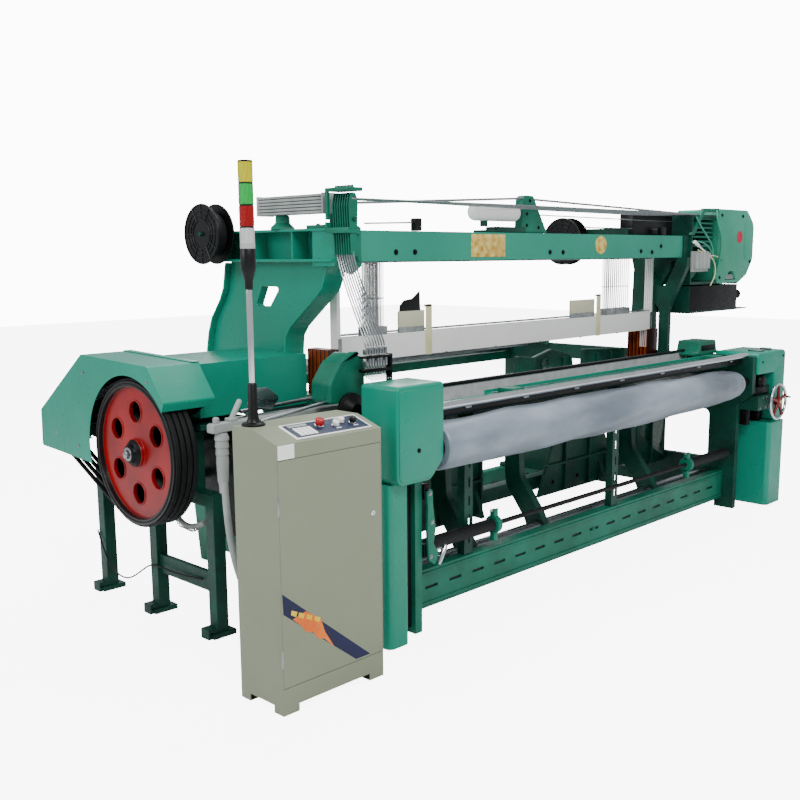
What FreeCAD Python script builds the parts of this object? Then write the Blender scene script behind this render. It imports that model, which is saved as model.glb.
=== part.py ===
"""Power loom: a shuttleless weaving machine with a drive side, a dobby and a control cabinet.

Places in the sheet are measured from the left frame's outer face (x), the front
of the legs (y) and the floor (z). left_x and front_y carry them to the part's
own frame, whose origin is the middle of the footprint on the floor.
"""
import FreeCAD, Part
import math
import os
import re

from FreeCAD import Placement, Rotation, Vector

DIMS = {
    # datums
    "left_x": -1523, "front_y": -848,
    # side frames
    "frame_wall": 44, "frame_span": 2996, "frame_top": 1000, "bore_gap": 0.05,
    # shafts that turn in the side frames: radius, then place of the axis
    "shaft_rad": 30, "shaft_y": 865, "shaft_z": 820,
    "rock_rad": 40, "rock_y": 200, "rock_z": 210,
    "warp_rad": 30, "warp_y": 1600, "warp_z": 470,
    "rest_rad": 15, "rest_y": 1840, "rest_z": 950,
    "roll_rad": 25, "roll_y": -50, "roll_z": 840,
    "cloth_rad": 12, "cloth_y": 50, "cloth_z": 372,
    # overhead beam
    "beam_x": 95, "beam_long": 2901, "beam_y": 430, "beam_deep": 130,
    "beam_z": 1620, "beam_tall": 139,
    # front and back tie rails
    "rail_front": 80, "rail_back": 1190, "rail_z": 62, "rail_tall": 183, "rail_deep": 60,
    "rail_sheet": 8, "slot_pitch": 165, "slot_long": 84, "slot_tall": 13,
    # belt drive
    "wheel_x": -835, "rim_wide": 120, "rim_rad": 312, "belt_gap": 0.4, "belt_thick": 9,
    "belt_wide": 20, "belt_pitch": 28, "belt_count": 4,
    "pulley_y": 1520, "pulley_z": 865, "pulley_rad": 70,
    "guard_x": -853, "guard_deep": 253, "guard_hole": 335, "sheet": 3,
    # cabinet
    "cab_x": -904, "cab_wide": 506, "cab_y": -203, "cab_deep": 253,
    "cab_front_top": 1000, "cab_back_top": 1042, "cab_slope": 128,
    "plinth": 104, "door_top": 943, "door_thick": 15,
    # heald frames
    "heald_x": 110, "heald_long": 2820, "heald_y": 600, "heald_thick": 10,
    "heald_pitch": 14, "heald_count": 4, "heald_low": 1145, "heald_high": 1700,
    "slat_tall": 120, "guide_slots": 10,
    # weft selector levers
    "lever_x": -55, "lever_y": 300, "lever_z": 1800, "lever_pitch": 15,
    "lever_thick": 5, "lever_count": 8, "lever_pin": 8,
    # selvedge spools
    "spool_rad": 145, "spool_wide": 88, "spool_pin": 10,
}

doc = FreeCAD.newDocument("power_loom")
sheet = doc.addObject("Spreadsheet::Sheet", "dims")
for row, (alias, value) in enumerate(DIMS.items(), 1):
    sheet.set(f"A{row}", alias)
    sheet.set(f"B{row}", str(value))
    sheet.setAlias(f"B{row}", alias)
doc.recompute()

nodes = {}


def size(text):
    """The number that an expression over the sheet's aliases stands for."""
    words = re.split(r"([a-z_]+)", str(text))
    named = [str(DIMS[word]) if word in DIMS else word for word in words]
    total = 0.0
    for term in re.findall(r"[-+]?[^-+]+", "".join(named).replace(" ", "").replace("+-", "-").replace("--", "+")):
        product = 1.0
        for factor in term.split("*"):
            over = factor.split("/")
            product *= float(over[0])
            for below in over[1:]:
                product /= float(below)
        total += product
    return total


def bind(obj, prop, value):
    """Tie a property to the sheet."""
    obj.setExpression(prop, re.sub(r"[a-z_]+", r"dims.\g<0>", str(value)))


def put(obj, corner, turn=None):
    """Place an object by expressions measured from the datums."""
    obj.Placement = Placement(Vector(), turn or Rotation())
    bind(obj, "Placement.Base.x", f"left_x + ({corner[0]})")
    bind(obj, "Placement.Base.y", f"front_y + ({corner[1]})")
    bind(obj, "Placement.Base.z", corner[2])
    return obj


def box(name, sizes, corner, turn=None):
    solid = doc.addObject("Part::Box", name)
    for prop, value in zip(("Length", "Width", "Height"), sizes):
        bind(solid, prop, value)
    return put(solid, corner, turn)


AXES = {
    "x": Rotation(Vector(0, 1, 0), 90),
    "y": Rotation(Vector(1, 0, 0), -90),
    "z": Rotation(),
}


def rod(name, axis, radius, length, start):
    """A round bar that runs from its start along +x, +y or +z."""
    solid = doc.addObject("Part::Cylinder", name)
    bind(solid, "Radius", radius)
    bind(solid, "Height", length)
    return put(solid, start, AXES[axis])


def cone(name, axis, radius_from, radius_to, length, start):
    solid = doc.addObject("Part::Cone", name)
    bind(solid, "Radius1", radius_from)
    bind(solid, "Radius2", radius_to)
    bind(solid, "Height", length)
    return put(solid, start, AXES[axis])


def fuse(name, parts):
    joined = doc.addObject("Part::MultiFuse", name)
    joined.Shapes = parts
    joined.Refine = True
    return joined


def group(name, parts):
    """Several separate solids that share a node."""
    bundle = doc.addObject("Part::Compound", name)
    bundle.Links = parts
    return bundle


def cut(name, base, tools):
    taken = doc.addObject("Part::Cut", name)
    taken.Base = base
    taken.Tool = tools[0] if len(tools) == 1 else group(name + "_tools", tools)
    return taken


def keep(label, obj):
    obj.Label = label
    nodes[label] = obj
    return obj


def outline_edges(points):
    """Lines and tangent arcs of a closed outline. A third value rounds that corner."""
    tangents, arcs = [], []
    for index, point in enumerate(points):
        here = Vector(point[0], point[1], 0)
        if len(point) == 2:
            tangents.append((here, here))
            arcs.append(None)
            continue
        back = Vector(*points[index - 1][:2], 0).sub(here).normalize()
        ahead = Vector(*points[(index + 1) % len(points)][:2], 0).sub(here).normalize()
        half = back.getAngle(ahead) / 2
        centre = here + (back + ahead).normalize() * (point[2] / math.sin(half))
        first = here + back * (point[2] / math.tan(half))
        last = here + ahead * (point[2] / math.tan(half))
        middle = centre + (here - centre).normalize() * point[2]
        tangents.append((first, last))
        arcs.append(Part.Arc(first, middle, last))
    edges = []
    for index, arc in enumerate(arcs):
        if arc:
            edges.append(arc)
        start, end = tangents[index][1], tangents[(index + 1) % len(points)][0]
        edges.append(Part.LineSegment(start, end))
    return edges


def ring(u, v, radius):
    return [Part.Circle(Vector(u, v, 0), Vector(0, 0, 1), radius)]


def profile(name, plane, loops, thickness, corner):
    """A padded sketch. The yz sketch pads to +x, xz to +y and xy to +z."""
    body = doc.addObject("PartDesign::Body", name)
    role = {"yz": "YZ_Plane", "xz": "XZ_Plane", "xy": "XY_Plane"}[plane]
    datum = next(item for item in body.Origin.OriginFeatures if item.Role == role)
    sketch = body.newObject("Sketcher::SketchObject", name + "_sketch")
    sketch.AttachmentSupport = (datum, [""])
    sketch.MapMode = "FlatFace"
    for loop in loops:
        sketch.addGeometry(loop, False)
    pad = body.newObject("PartDesign::Pad", name + "_pad")
    pad.Profile = sketch
    pad.Reversed = plane == "xz"
    bind(pad, "Length", thickness)
    return put(body, corner)


def inset(points, depth):
    """The outline moved inwards by depth. The points run counter-clockwise."""
    moved = []
    for index, point in enumerate(points):
        before, after = points[index - 1], points[(index + 1) % len(points)]
        here = Vector(point[0], point[1], 0)
        side_in = (here - Vector(before[0], before[1], 0)).normalize()
        side_out = (Vector(after[0], after[1], 0) - here).normalize()
        normal_in = Vector(-side_in.y, side_in.x, 0)
        normal_out = Vector(-side_out.y, side_out.x, 0)
        shift = (normal_in + normal_out) * (depth / (1 + normal_in.dot(normal_out)))
        corner = (here.x + shift.x, here.y + shift.y)
        moved.append(corner + (max(point[2] - depth, 1),) if len(point) == 3 else corner)
    return moved


def hollow(name, plane, points, depth, corner, wall):
    """A sheet casing: the outline with a front wall, open at its back."""
    shell = profile(name + "_outer", plane, [outline_edges(points)], depth, corner)
    deep_axis = {"yz": 0, "xz": 1, "xy": 2}[plane]
    inside = list(corner)
    inside[deep_axis] = f"{corner[deep_axis]} + {wall}"
    core = profile(name + "_core", plane, [outline_edges(inset(points, size(wall)))], depth, inside)
    return shell, core


# ---------------------------------------------------------------- side frames
FRAME_OUTLINE = [
    (0, 0), (130, 0), (130, 90, 40), (1500, 90, 40), (1500, 0), (1640, 0),
    (1700, 430, 60), (1900, 640, 60), (1900, 1000, 20), (-95, 1000, 12), (-95, 760, 30), (0, 690, 40),
]
FRAME_WINDOWS = [
    [(190, 320, 40), (560, 320, 40), (560, 640, 40), (190, 640, 40)],
    [(650, 170, 50), (1060, 170, 50), (1060, 610, 50), (650, 610, 50)],
    [(1130, 170, 50), (1450, 170, 50), (1450, 610, 50), (1130, 610, 50)],
    [(250, 720, 35), (690, 720, 35), (690, 900, 35), (250, 900, 35)],
    [(1040, 720, 35), (1440, 720, 35), (1440, 900, 35), (1040, 900, 35)],
]
SHAFTS = ("shaft", "rock", "warp", "rest", "roll", "cloth")


def side_frame(label, x):
    loops = [outline_edges(FRAME_OUTLINE)] + [outline_edges(window) for window in FRAME_WINDOWS]
    for shaft in SHAFTS:
        loops.append(ring(size(shaft + "_y"), size(shaft + "_z"), size(shaft + "_rad + bore_gap")))
    keep(label, profile(label, "yz", loops, "frame_wall", (x, 0, 0)))


LEFT_WALL = [
    (834, 1000), (1454, 1000), (1447, 1190, 60), (1401, 1333, 50), (1289, 1468, 50), (1262, 1622),
    (505, 1622), (557, 1493, 20), (828, 1284, 60),
]
LEFT_WINDOW = [(1071, 1405, 12), (961, 1408, 12), (884, 1500, 12), (1018, 1503, 12)]
RIGHT_WALL = [
    (620, 1000), (800, 1000), (800, 1240, 60), (790, 1540, 40), (810, 1622),
    (500, 1622), (520, 1530, 30), (610, 1390, 80), (630, 1240, 60),
]


def gantry(label, x, loops, long, channel_x, channel_wide, block_x, block_long, rib_count):
    """A casting that carries the beam: shaped wall, channel head and front block."""
    wall = profile(label + "_wall", "yz", loops, "frame_wall", (x, 0, 0))
    head = [
        box(label + "_web", (12, long, 147), (f"{x} + 32", 430, "beam_z")),
        box(label + "_top", (channel_wide, long, 12), (channel_x, 430, "beam_z + 135")),
        box(label + "_base", (channel_wide, long, 12), (channel_x, 430, "beam_z")),
        box(label + "_block", (block_long, 150, 160), (block_x, 420, "beam_z - 20")),
    ]
    ribs = [
        box(f"{label}_rib_{number}", (100, 10, 130), (f"{channel_x} + 5", 700 + 300 * number, "beam_z + 8"))
        for number in range(rib_count)
    ]
    keep(label, fuse(label, [wall] + head + ribs))


side_frame("left_side_frame", 0)
side_frame("right_side_frame", "frame_span")
gantry("left_gantry", 0, [outline_edges(LEFT_WALL), outline_edges(LEFT_WINDOW), ring(960, 1120, 16)],
       934, -71, 115, -60, 155, 3)
gantry("right_gantry", "frame_span", [outline_edges(RIGHT_WALL)],
       380, "frame_span", "frame_wall", "frame_span", 64, 0)

fork = profile("fork_support", "yz", [outline_edges([
    (495, 900, 8), (565, 900, 8), (565, 1280, 60), (766, 1560, 30), (766, 1620), (690, 1620),
    (672, 1570, 20), (548, 1390, 40), (460, 1570, 20), (445, 1620), (372, 1620), (372, 1560, 30),
    (495, 1280, 60),
])], 40, (2956, 0, 0))

keep("top_beam", cut("top_beam", box("beam_bar", ("beam_long", "beam_deep", "beam_tall"),
                                     ("beam_x", "beam_y", "beam_z")), [
    rod(f"beam_hole_{x}", "y", 9, 40, (x, "beam_y - 1", "beam_z + 40"))
    for x in (331, 459, 1537, 1660, 2484, 2615)
]))


# ------------------------------------------------------------------ tie rails
def tie_rail(name, y):
    """A channel with a row of slots in its face."""
    channel = cut(name + "_channel", box(name + "_bar", ("frame_span - frame_wall", "rail_deep", "rail_tall"),
                                         ("frame_wall", y, "rail_z")),
                  [box(name + "_hollow", ("frame_span - frame_wall", "rail_deep", "rail_tall - 2 * rail_sheet"),
                       ("frame_wall", f"{y} + rail_sheet", "rail_z + rail_sheet"))])
    slots = [
        box(f"{name}_slot_{number}", ("slot_long", 20, "slot_tall"),
            (f"150 + {number} * slot_pitch", f"{y} - 5", "rail_z + 88"))
        for number in range(17)
    ]
    return cut(name, channel, slots)


keep("tie_rails", group("tie_rails", [
    tie_rail("front_rail", "rail_front"),
    tie_rail("back_rail", "rail_back"),
    box("back_beam", ("frame_span - frame_wall", 50, 60), ("frame_wall", 1850, 862)),
]))

# --------------------------------------------------------------------- breast
keep("breast_beam", box("breast_beam", ("frame_span - frame_wall", 60, 52), ("frame_wall", 64, 930)))
keep("breast_tube", rod("breast_tube", "x", 18, "frame_span - frame_wall - 8", ("frame_wall + 8", -45, 1006)))

plate = box("temple_plate", (2240, 150, 10), (640, 0, 982))
lip = box("temple_lip", (2240, 8, 26), (640, 142, 982))
oblongs = [box(f"temple_slot_{number}", (240, 34, 30), (760 + 520 * number, 55, 970)) for number in range(4)]
keep("temple_rail", cut("temple_rail", fuse("temple_angle", [plate, lip]), oblongs))


def breast_post(name, x):
    """A slotted angle iron from the front rail up to the breast beam."""
    angle = fuse(name + "_angle", [
        box(name + "_face", (60, 6, "930 - rail_z - rail_tall"), (x, 90, "rail_z + rail_tall")),
        box(name + "_side", (6, 44, "930 - rail_z - rail_tall"), (x, 90, "rail_z + rail_tall")),
    ])
    slots = [box(f"{name}_slot_{number}", (12, 20, 46), (f"{x} + 28", 84, 300 + 90 * number)) for number in range(7)]
    return cut(name, angle, slots)


posts = [breast_post("post_left", 430), breast_post("post_middle", 1690)]

# --------------------------------------------------------------- front covers
left_shell, left_core = hollow("left_cover", "xz", [
    (-233, 720, 30), (-20, 720, 60), (51, 800, 60), (51, 1130, 26), (-233, 1130, 26),
], 220, (0, -130, 0), "sheet")
keep("left_front_cover", cut("left_front_cover", left_shell, [
    left_core, rod("left_cover_hole", "x", "roll_rad + 15", 40, (30, "roll_y", "roll_z")),
    box("left_cover_back", (60, 120, 80), (44, 64, 925)),
    box("left_cover_notch", (45, 300, 320), (-0.5, -97, 682)),
]))
right_shell, right_core = hollow("right_cover", "xz", [
    (3285, 562), (3440, 562), (3440, 1020, 30), (3040, 1020, 30), (3040, 880, 14), (3285, 880),
], 300, (0, -110, 0), "sheet")
keep("right_front_cover", cut("right_front_cover", right_shell, [right_core]))


def lower_cover(name, x, y, wide, deep, tall):
    """A closed-topped sheet box with rounded upright edges, open underneath."""
    plan = [(x, y, 30), (x + wide, y, 30), (x + wide, y + deep, 30), (x, y + deep, 30)]
    shell, core = hollow(name, "xy", plan, tall, (0, 0, 12), "sheet")
    put(core, (0, 0, "12 - sheet"))
    return cut(name, shell, [core])


keep("lower_covers", group("lower_covers", [
    lower_cover("left_lower", -233, -75, 125, 200, 708),
    lower_cover("right_lower", 3172, -148, 218, 258, 550),
]))

# ---------------------------------------------------------------- drive guard
GUARD = [
    (600, 1018), (1180, 735), (1659, 759, 12), (1652, 934, 12), (1237, 1221, 12), (695, 1205, 12), (581, 1062, 12),
]
guard_shell, guard_core = hollow("guard", "yz", GUARD, "guard_deep", ("guard_x", 0, 0), "sheet")
keep("belt_guard", cut("belt_guard", guard_shell, [
    guard_core,
    rod("guard_opening", "x", "guard_hole", "guard_deep + 20", ("guard_x - 10", "shaft_y", "shaft_z")),
    profile("guard_underside", "yz", [outline_edges([
        (560, 1000), (1180, 700), (1640, 720), (1640, 768), (1180, 742), (600, 1030),
    ])], "guard_deep", ("guard_x + sheet", 0, 0)),
]))
keep("drive_cover", cut("drive_cover", box("drive_box", (598, 460, 235), (-598, 700, 960)), [
    box("drive_hollow", ("598 - 2 * sheet", "460 - 2 * sheet", 235), ("-598 + sheet", "700 + sheet", "960 - sheet")),
]))


def stand_leg(y):
    name = f"leg_{y}"
    return [
        box(name, (60, 60, 640), (-620, y, 0)),
        box(name + "_foot", (120, 90, 24), (-650, y - 15, 0)),
        box(name + "_toe", (50, 60, 46), (-668, y, 0)),
    ]


LEG_PLACES = (603, 1068, 1537)
stand = [piece for y in LEG_PLACES for piece in stand_leg(y)] + [
    box("stand_top", (60, 994, 60), (-620, 603, 580)),
    box("stand_channel", (24, 465, 90), (-602, 603, 190)),
    box("stand_cross", (560, 60, 40), (-560, 1068, 600)),
    box("stand_motor_plate", (300, 220, 20), (-600, 1410, 640)),
    box("stand_pedestal", (90, 170, 290), (-620, "shaft_y - 85", 600)),
]
keep("outboard_stand", cut("outboard_stand", fuse("stand_frame", stand), [
    rod("pedestal_bore", "x", "shaft_rad + bore_gap", 120, (-630, "shaft_y", "shaft_z")),
]))
keep("motor", cut("motor", fuse("motor_body", [
    rod("motor_barrel", "x", 105, 260, (-590, "pulley_y", "pulley_z")),
    box("motor_foot", (220, 170, 110), (-570, "pulley_y - 85", 660)),
]), [rod("motor_bore", "x", 14.05, 60, (-595, "pulley_y", "pulley_z"))]))


def belt_loop(growth):
    """The two arcs and two tangents round wheel and pulley, grown outwards."""
    big, small = size("rim_rad") + growth, size("pulley_rad") + growth
    centre = Vector(size("shaft_y"), size("shaft_z"), 0)
    other = Vector(size("pulley_y"), size("pulley_z"), 0)
    along = (other - centre).normalize()
    lean = math.acos((big - small) / (other - centre).Length)
    heading = math.atan2(along.y, along.x)

    def on(middle, radius, angle):
        return middle + Vector(math.cos(angle), math.sin(angle), 0) * radius

    high, low = heading + lean, heading - lean
    return [
        Part.Arc(on(centre, big, high), on(centre, big, heading + math.pi), on(centre, big, low)),
        Part.LineSegment(on(centre, big, low), on(other, small, low)),
        Part.Arc(on(other, small, low), on(other, small, heading), on(other, small, high)),
        Part.LineSegment(on(other, small, high), on(centre, big, high)),
    ]


keep("drive_belts", group("drive_belts", [
    profile(f"belt_{number}", "yz", [belt_loop(size("belt_gap + belt_thick")), belt_loop(size("belt_gap"))],
            "belt_wide", (f"wheel_x + 8 + {number} * belt_pitch", 0, 0))
    for number in range(DIMS["belt_count"])
]))

rim = cut("rim", rod("rim_disc", "x", "rim_rad", "rim_wide", ("wheel_x", "shaft_y", "shaft_z")),
          [rod("rim_bore", "x", "rim_rad - 26", "rim_wide + 20", ("wheel_x - 10", "shaft_y", "shaft_z"))])
web = rod("wheel_web", "x", "rim_rad - 20", 18, ("wheel_x + 22", "shaft_y", "shaft_z"))
hub = rod("wheel_hub", "x", 62, 100, ("wheel_x + 5", "shaft_y", "shaft_z"))
windows = [
    rod(f"wheel_window_{number}", "x", 47, 60, (
        "wheel_x + 10",
        size("shaft_y") + 178 * math.cos(math.radians(60 * number + 30)),
        size("shaft_z") + 178 * math.sin(math.radians(60 * number + 30)),
    ))
    for number in range(6)
]
keep("flywheel", cut("flywheel", fuse("wheel", [rim, web, hub]), windows + [
    rod("wheel_bore", "x", "shaft_rad", 200, ("wheel_x - 20", "shaft_y", "shaft_z")),
]))
keep("main_shaft", rod("main_shaft", "x", "shaft_rad", 3930, (-862, "shaft_y", "shaft_z")))
keep("motor_pulley", fuse("motor_pulley", [
    rod("pulley_disc", "x", "pulley_rad", "rim_wide", ("wheel_x", "pulley_y", "pulley_z")),
    rod("pulley_shaft", "x", 14, 290, ("wheel_x + 5", "pulley_y", "pulley_z")),
]))


# --------------------------------------------------------------------- cabinet
SLOPE = math.degrees(math.atan2(size("cab_back_top - cab_front_top"), size("cab_slope")))
TILT = Rotation(Vector(1, 0, 0), SLOPE)


def on_console(x, along, lift):
    """A point on the sloping desk, a distance up the slope and off its surface."""
    lean = math.radians(SLOPE)
    return (
        x,
        size("cab_y") + along * math.cos(lean) - lift * math.sin(lean),
        size("cab_front_top") + along * math.sin(lean) + lift * math.cos(lean),
    )


def console_disc(name, x, along, lift, radius, tall):
    disc = doc.addObject("Part::Cylinder", name)
    bind(disc, "Radius", radius)
    bind(disc, "Height", tall)
    return put(disc, on_console(x, along, lift), TILT)


CONTROLS = {
    "emergency_stop": (-640, 84, 17, 22),
    "start_button": (-575, 66, 13, 12),
    "stop_button": (-535, 84, 13, 12),
    "mode_knob": (-490, 66, 13, 18),
}


def control_holes(where):
    """Round holes for the stems of the controls."""
    return [
        console_disc(f"{where}_{name}_hole", x, along, -10, radius / 2 + 0.3, 30)
        for name, (x, along, radius, tall) in CONTROLS.items()
    ]


def cabinet():
    top, back = size("cab_front_top"), size("cab_back_top")
    deep, slope = size("cab_deep"), size("cab_slope")
    side = [(0, 0), (deep, 0), (deep, back), (slope, back), (0, top)]
    outer = profile("cabinet_outer", "yz", [outline_edges(side)], "cab_wide", ("cab_x", "cab_y", 0))
    inner = profile("cabinet_inner", "yz", [outline_edges(inset(side, size("sheet")))],
                    "cab_wide - 2 * sheet", ("cab_x + sheet", "cab_y", 0))
    opening = box("cabinet_mouth", ("cab_wide - 2 * sheet", 40, "door_top - plinth + 4"),
                  ("cab_x + sheet", "cab_y - 10", "plinth - 2"))
    kick = [
        box("kick_front", ("cab_wide - 150", 400, 30), ("cab_x + 75", "cab_y - 50", -1)),
        box("kick_side", ("cab_wide + 20", "cab_deep - 110", 30), ("cab_x - 10", "cab_y + 55", -1)),
    ]
    floor = box("cabinet_floor", ("cab_wide - 2 * sheet", "cab_deep - 30", 3), ("cab_x + sheet", "cab_y + 20", 90))
    return fuse("cabinet_shell", [
        cut("cabinet_sheet", outer, [inner, opening] + kick + control_holes("roof")), floor,
    ])


keep("cabinet_shell", cabinet())
keep("cabinet_door", cut("cabinet_door",
                         box("door_slab", ("cab_wide - 2 * sheet - 2", "door_thick", "door_top - plinth"),
                             ("cab_x + sheet + 1", "cab_y", "plinth")),
                         [box("door_back", ("cab_wide - 2 * sheet - 6", "door_thick", "door_top - plinth - 4"),
                              ("cab_x + sheet + 3", "cab_y + 2", "plinth + 2"))]))
keep("control_unit", box("control_unit", (380, 80, 560), (-841, -33, 220)))

keep("console_panel", cut("console_panel", box("console_plate", (400, 104, 4), on_console(-860, 20, 0), TILT),
                          control_holes("panel")))
for name, (x, along, radius, tall) in CONTROLS.items():
    keep(name, fuse(name, [
        console_disc(name + "_cap", x, along, 10, radius, tall),
        console_disc(name + "_stem", x, along, 0.3, radius / 2, 12),
    ]))

# --------------------------------------------------------------- signal tower
TOWER = (-845, 0)
keep("tower_pole", fuse("tower_pole", [
    rod("tower_flange", "z", 44, 12, (*TOWER, "cab_back_top")),
    rod("tower_socket", "z", 17, 150, (*TOWER, "cab_back_top")),
    rod("tower_tube", "z", 11, 600, (*TOWER, "cab_back_top")),
    rod("tower_collar", "z", 24, 40, (*TOWER, 1634)),
]))
keep("tower_lamps", group("tower_lamps", [
    rod(f"lamp_{number}", "z", 27, 74, (*TOWER, 1674 + 75.5 * number)) for number in range(4)
]))

# ---------------------------------------------------------------------- dobby
keep("dobby_case", profile("dobby_case", "xz", [outline_edges([
    (3420, 1430, 20), (3700, 1430, 10), (3860, 1490, 40), (3950, 1600, 60), (3950, 1860, 70),
    (3830, 1945, 30), (3420, 1945, 20),
])], 330, (0, 390, 0)))
keep("dobby_frame", fuse("dobby_frame", [
    box("dobby_back", (360, 20, 430), (3060, 690, 1440)),
    box("dobby_roof", (360, 310, 18), (3060, 400, 1880)),
    box("dobby_deck", (360, 310, 18), (3060, 400, 1440)),
    box("dobby_wall", (16, 310, 440), (3060, 400, 1450)),
    box("dobby_box", (680, 260, 180), (3060, 400, 1250)),
    box("dobby_shelf", (210, 120, 8), (3740, 420, 1250)),
]))
keep("dobby_knob", fuse("dobby_knob", [
    rod("knob_stem", "x", 8, 100, (3741, 460, 1355)),
    cone("knob_head", "x", 14, 34, 34, (3820, 460, 1355)),
]))


# ------------------------------------------------------------------ harness
def heald_guide(name, x, wide, low, tall, slot_x, slot_wide):
    comb = box(name + "_block", (wide, 152, tall), (x, 590, low))
    slots = [
        box(f"{name}_slot_{number}", (slot_wide, "heald_thick + 2", tall + 20),
            (slot_x, f"heald_y - 1 + {number} * heald_pitch", low - 10))
        for number in range(DIMS["guide_slots"])
    ]
    return cut(name, comb, slots)


keep("heald_guides", group("heald_guides", [
    heald_guide("guide_left", 44, 62, 1000, 215, 62, 60),
    heald_guide("guide_right", 2866, 130, 957, 193, 2850, 96),
]))
for number in range(DIMS["heald_count"]):
    tag = f"heald_{number + 1}"
    y = f"heald_y + {number} * heald_pitch"
    keep(f"heald_frame_{number + 1}", fuse(tag, [
        box(tag + "_lower", ("heald_long", "heald_thick", "slat_tall"), ("heald_x", y, "heald_low")),
        box(tag + "_upper", ("heald_long", "heald_thick", 75), ("heald_x", y, "heald_high - 75")),
        box(tag + "_left_stay", (20, "heald_thick", "heald_high - heald_low"), ("heald_x", y, "heald_low")),
        box(tag + "_right_stay", (20, "heald_thick", "heald_high - heald_low"),
            ("heald_x + heald_long - 20", y, "heald_low")),
        box(tag + "_tongue", (60, "heald_thick", 150), ("heald_x - 46", y, 1060)),
        box(tag + "_foot", (56, "heald_thick", 170), (2872, y, 1030)),
        box(tag + "_left_arm", (40, "heald_thick", 110), ("heald_x", y, 1060)),
    ]))

# --------------------------------------------------------------- sley and reed
keep("rocking_shaft", rod("rocking_shaft", "x", "rock_rad", "frame_span + frame_wall", (0, "rock_y", "rock_z")))
SWORD = [
    (165, 150, 40), (250, 150, 40), (290, 250, 60), (420, 420, 120), (430, 620, 120), (345, 760, 60), (350, 850),
    (255, 850), (255, 740, 60), (330, 620, 100), (320, 470, 100), (190, 300, 80), (145, 220, 40),
]
keep("sley_swords", group("sley_swords", [
    profile(f"sword_{x}", "yz", [outline_edges(SWORD), ring(size("rock_y"), size("rock_z"), size("rock_rad"))],
            46, (x, 0, 0))
    for x in (560, 1150, 2270)
]))
keep("sley_beam", cut("sley_beam", box("sley_tube", (2800, 100, 80), (100, 252, 850)), [
    box("sley_hollow", (2820, 84, 64), (90, 260, 858)),
]))
keep("reed", fuse("reed", [
    box("reed_wires", (2760, 6, 90), (120, 306, 935)),
    box("reed_low_rail", (2760, 14, 16), (120, 302, 930)),
    box("reed_top_rail", (2760, 14, 12), (120, 302, 1023)),
]))

# ------------------------------------------------------------------- rollers
keep("take_up_roller", fuse("take_up_roller", [
    rod("roller_core", "x", 70, 2794, (56, "roll_y", "roll_z")),
    rod("roller_journal", "x", "roll_rad", "frame_span + frame_wall", (0, "roll_y", "roll_z")),
]))
WRAP = [(58, 106), (420, 108), (900, 107), (1500, 109), (2100, 104), (2450, 98), (2690, 92), (2800, 84), (2850, 74)]
keep("roller_cover", cut("roller_cover", fuse("roller_wrap", [
    cone(f"wrap_{here[0]}", "x", here[1], there[1], there[0] - here[0], (here[0], "roll_y", "roll_z"))
    for here, there in zip(WRAP, WRAP[1:])
]), [rod("wrap_bore", "x", 70, 3000, (0, "roll_y", "roll_z"))]))
keep("cloth_roller", fuse("cloth_roller", [
    rod("cloth_rod", "x", "cloth_rad", "frame_span + frame_wall", (0, "cloth_y", "cloth_z")),
    rod("cloth_tube_left", "x", 31, 500, (80, "cloth_y", "cloth_z")),
    rod("cloth_tube_right", "x", 31, 480, (2480, "cloth_y", "cloth_z")),
]))
keep("warp_beam", fuse("warp_beam", [
    rod("warp_axle", "x", "warp_rad", "frame_span + frame_wall", (0, "warp_y", "warp_z")),
    rod("warp_barrel", "x", 80, 2700, (170, "warp_y", "warp_z")),
    rod("warp_flange_left", "x", 260, 14, (160, "warp_y", "warp_z")),
    rod("warp_flange_right", "x", 260, 14, (2866, "warp_y", "warp_z")),
]))
keep("back_rest_roller", fuse("back_rest_roller", [
    rod("rest_tube", "x", 24, "frame_span - frame_wall - 20", ("frame_wall + 10", "rest_y", "rest_z")),
    rod("rest_journal", "x", "rest_rad", "frame_span + frame_wall", (0, "rest_y", "rest_z")),
]))

WORM = (3233, 697)
worm_bracket = cut("worm_bracket", box("worm_block", (230, 120, 90), (3040, -120, 652)), [
    rod("worm_bore", "y", 12.05, 200, (WORM[0], -160, WORM[1])),
])
grip = doc.addObject("Part::Torus", "handwheel_grip")
grip.Radius1 = 111
grip.Radius2 = 9
put(grip, (WORM[0], -165, WORM[1]), AXES["y"])
spokes = [
    box(f"handwheel_spoke_{number}", (24, 10, 106), (WORM[0], -170, WORM[1]))
    for number in range(3)
]
for number, spoke in enumerate(spokes):
    angle = math.radians(120 * number)
    turn = Rotation(Vector(0, 1, 0), 120 * number)
    shift = turn.multVec(Vector(-12, 0, 0))
    put(spoke, (WORM[0] + shift.x, -170, WORM[1] + shift.z), turn)
keep("handwheel", fuse("handwheel", [grip] + spokes + [
    rod("handwheel_boss", "y", 26, 30, (WORM[0], -180, WORM[1])),
    rod("handwheel_shaft", "y", 12, 150, (WORM[0], -165, WORM[1])),
]))

# --------------------------------------------------------- weft selector levers
lever_shaft = fuse("lever_shaft", [
    rod("lever_axle", "y", "lever_pin", 145, ("lever_x", 290, "lever_z")),
    box("lever_ear", (50, 16, 60), ("lever_x - 10", 430, "beam_z + 147")),
])
for number in range(DIMS["lever_count"]):
    tag = f"selector_lever_{number + 1}"
    keep(tag, profile(tag, "xz", [
        outline_edges([
            (-16, -150, 8), (10, -150, 8), (22, -20, 20), (26, 70, 20), (14, 112, 12), (-14, 112, 12),
            (-26, 60, 20), (-22, -20, 20),
        ]),
        ring(0, 0, size("lever_pin") + 0.05),
    ], "lever_thick", ("lever_x", f"lever_y + {number} * lever_pitch", "lever_z")))


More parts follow.
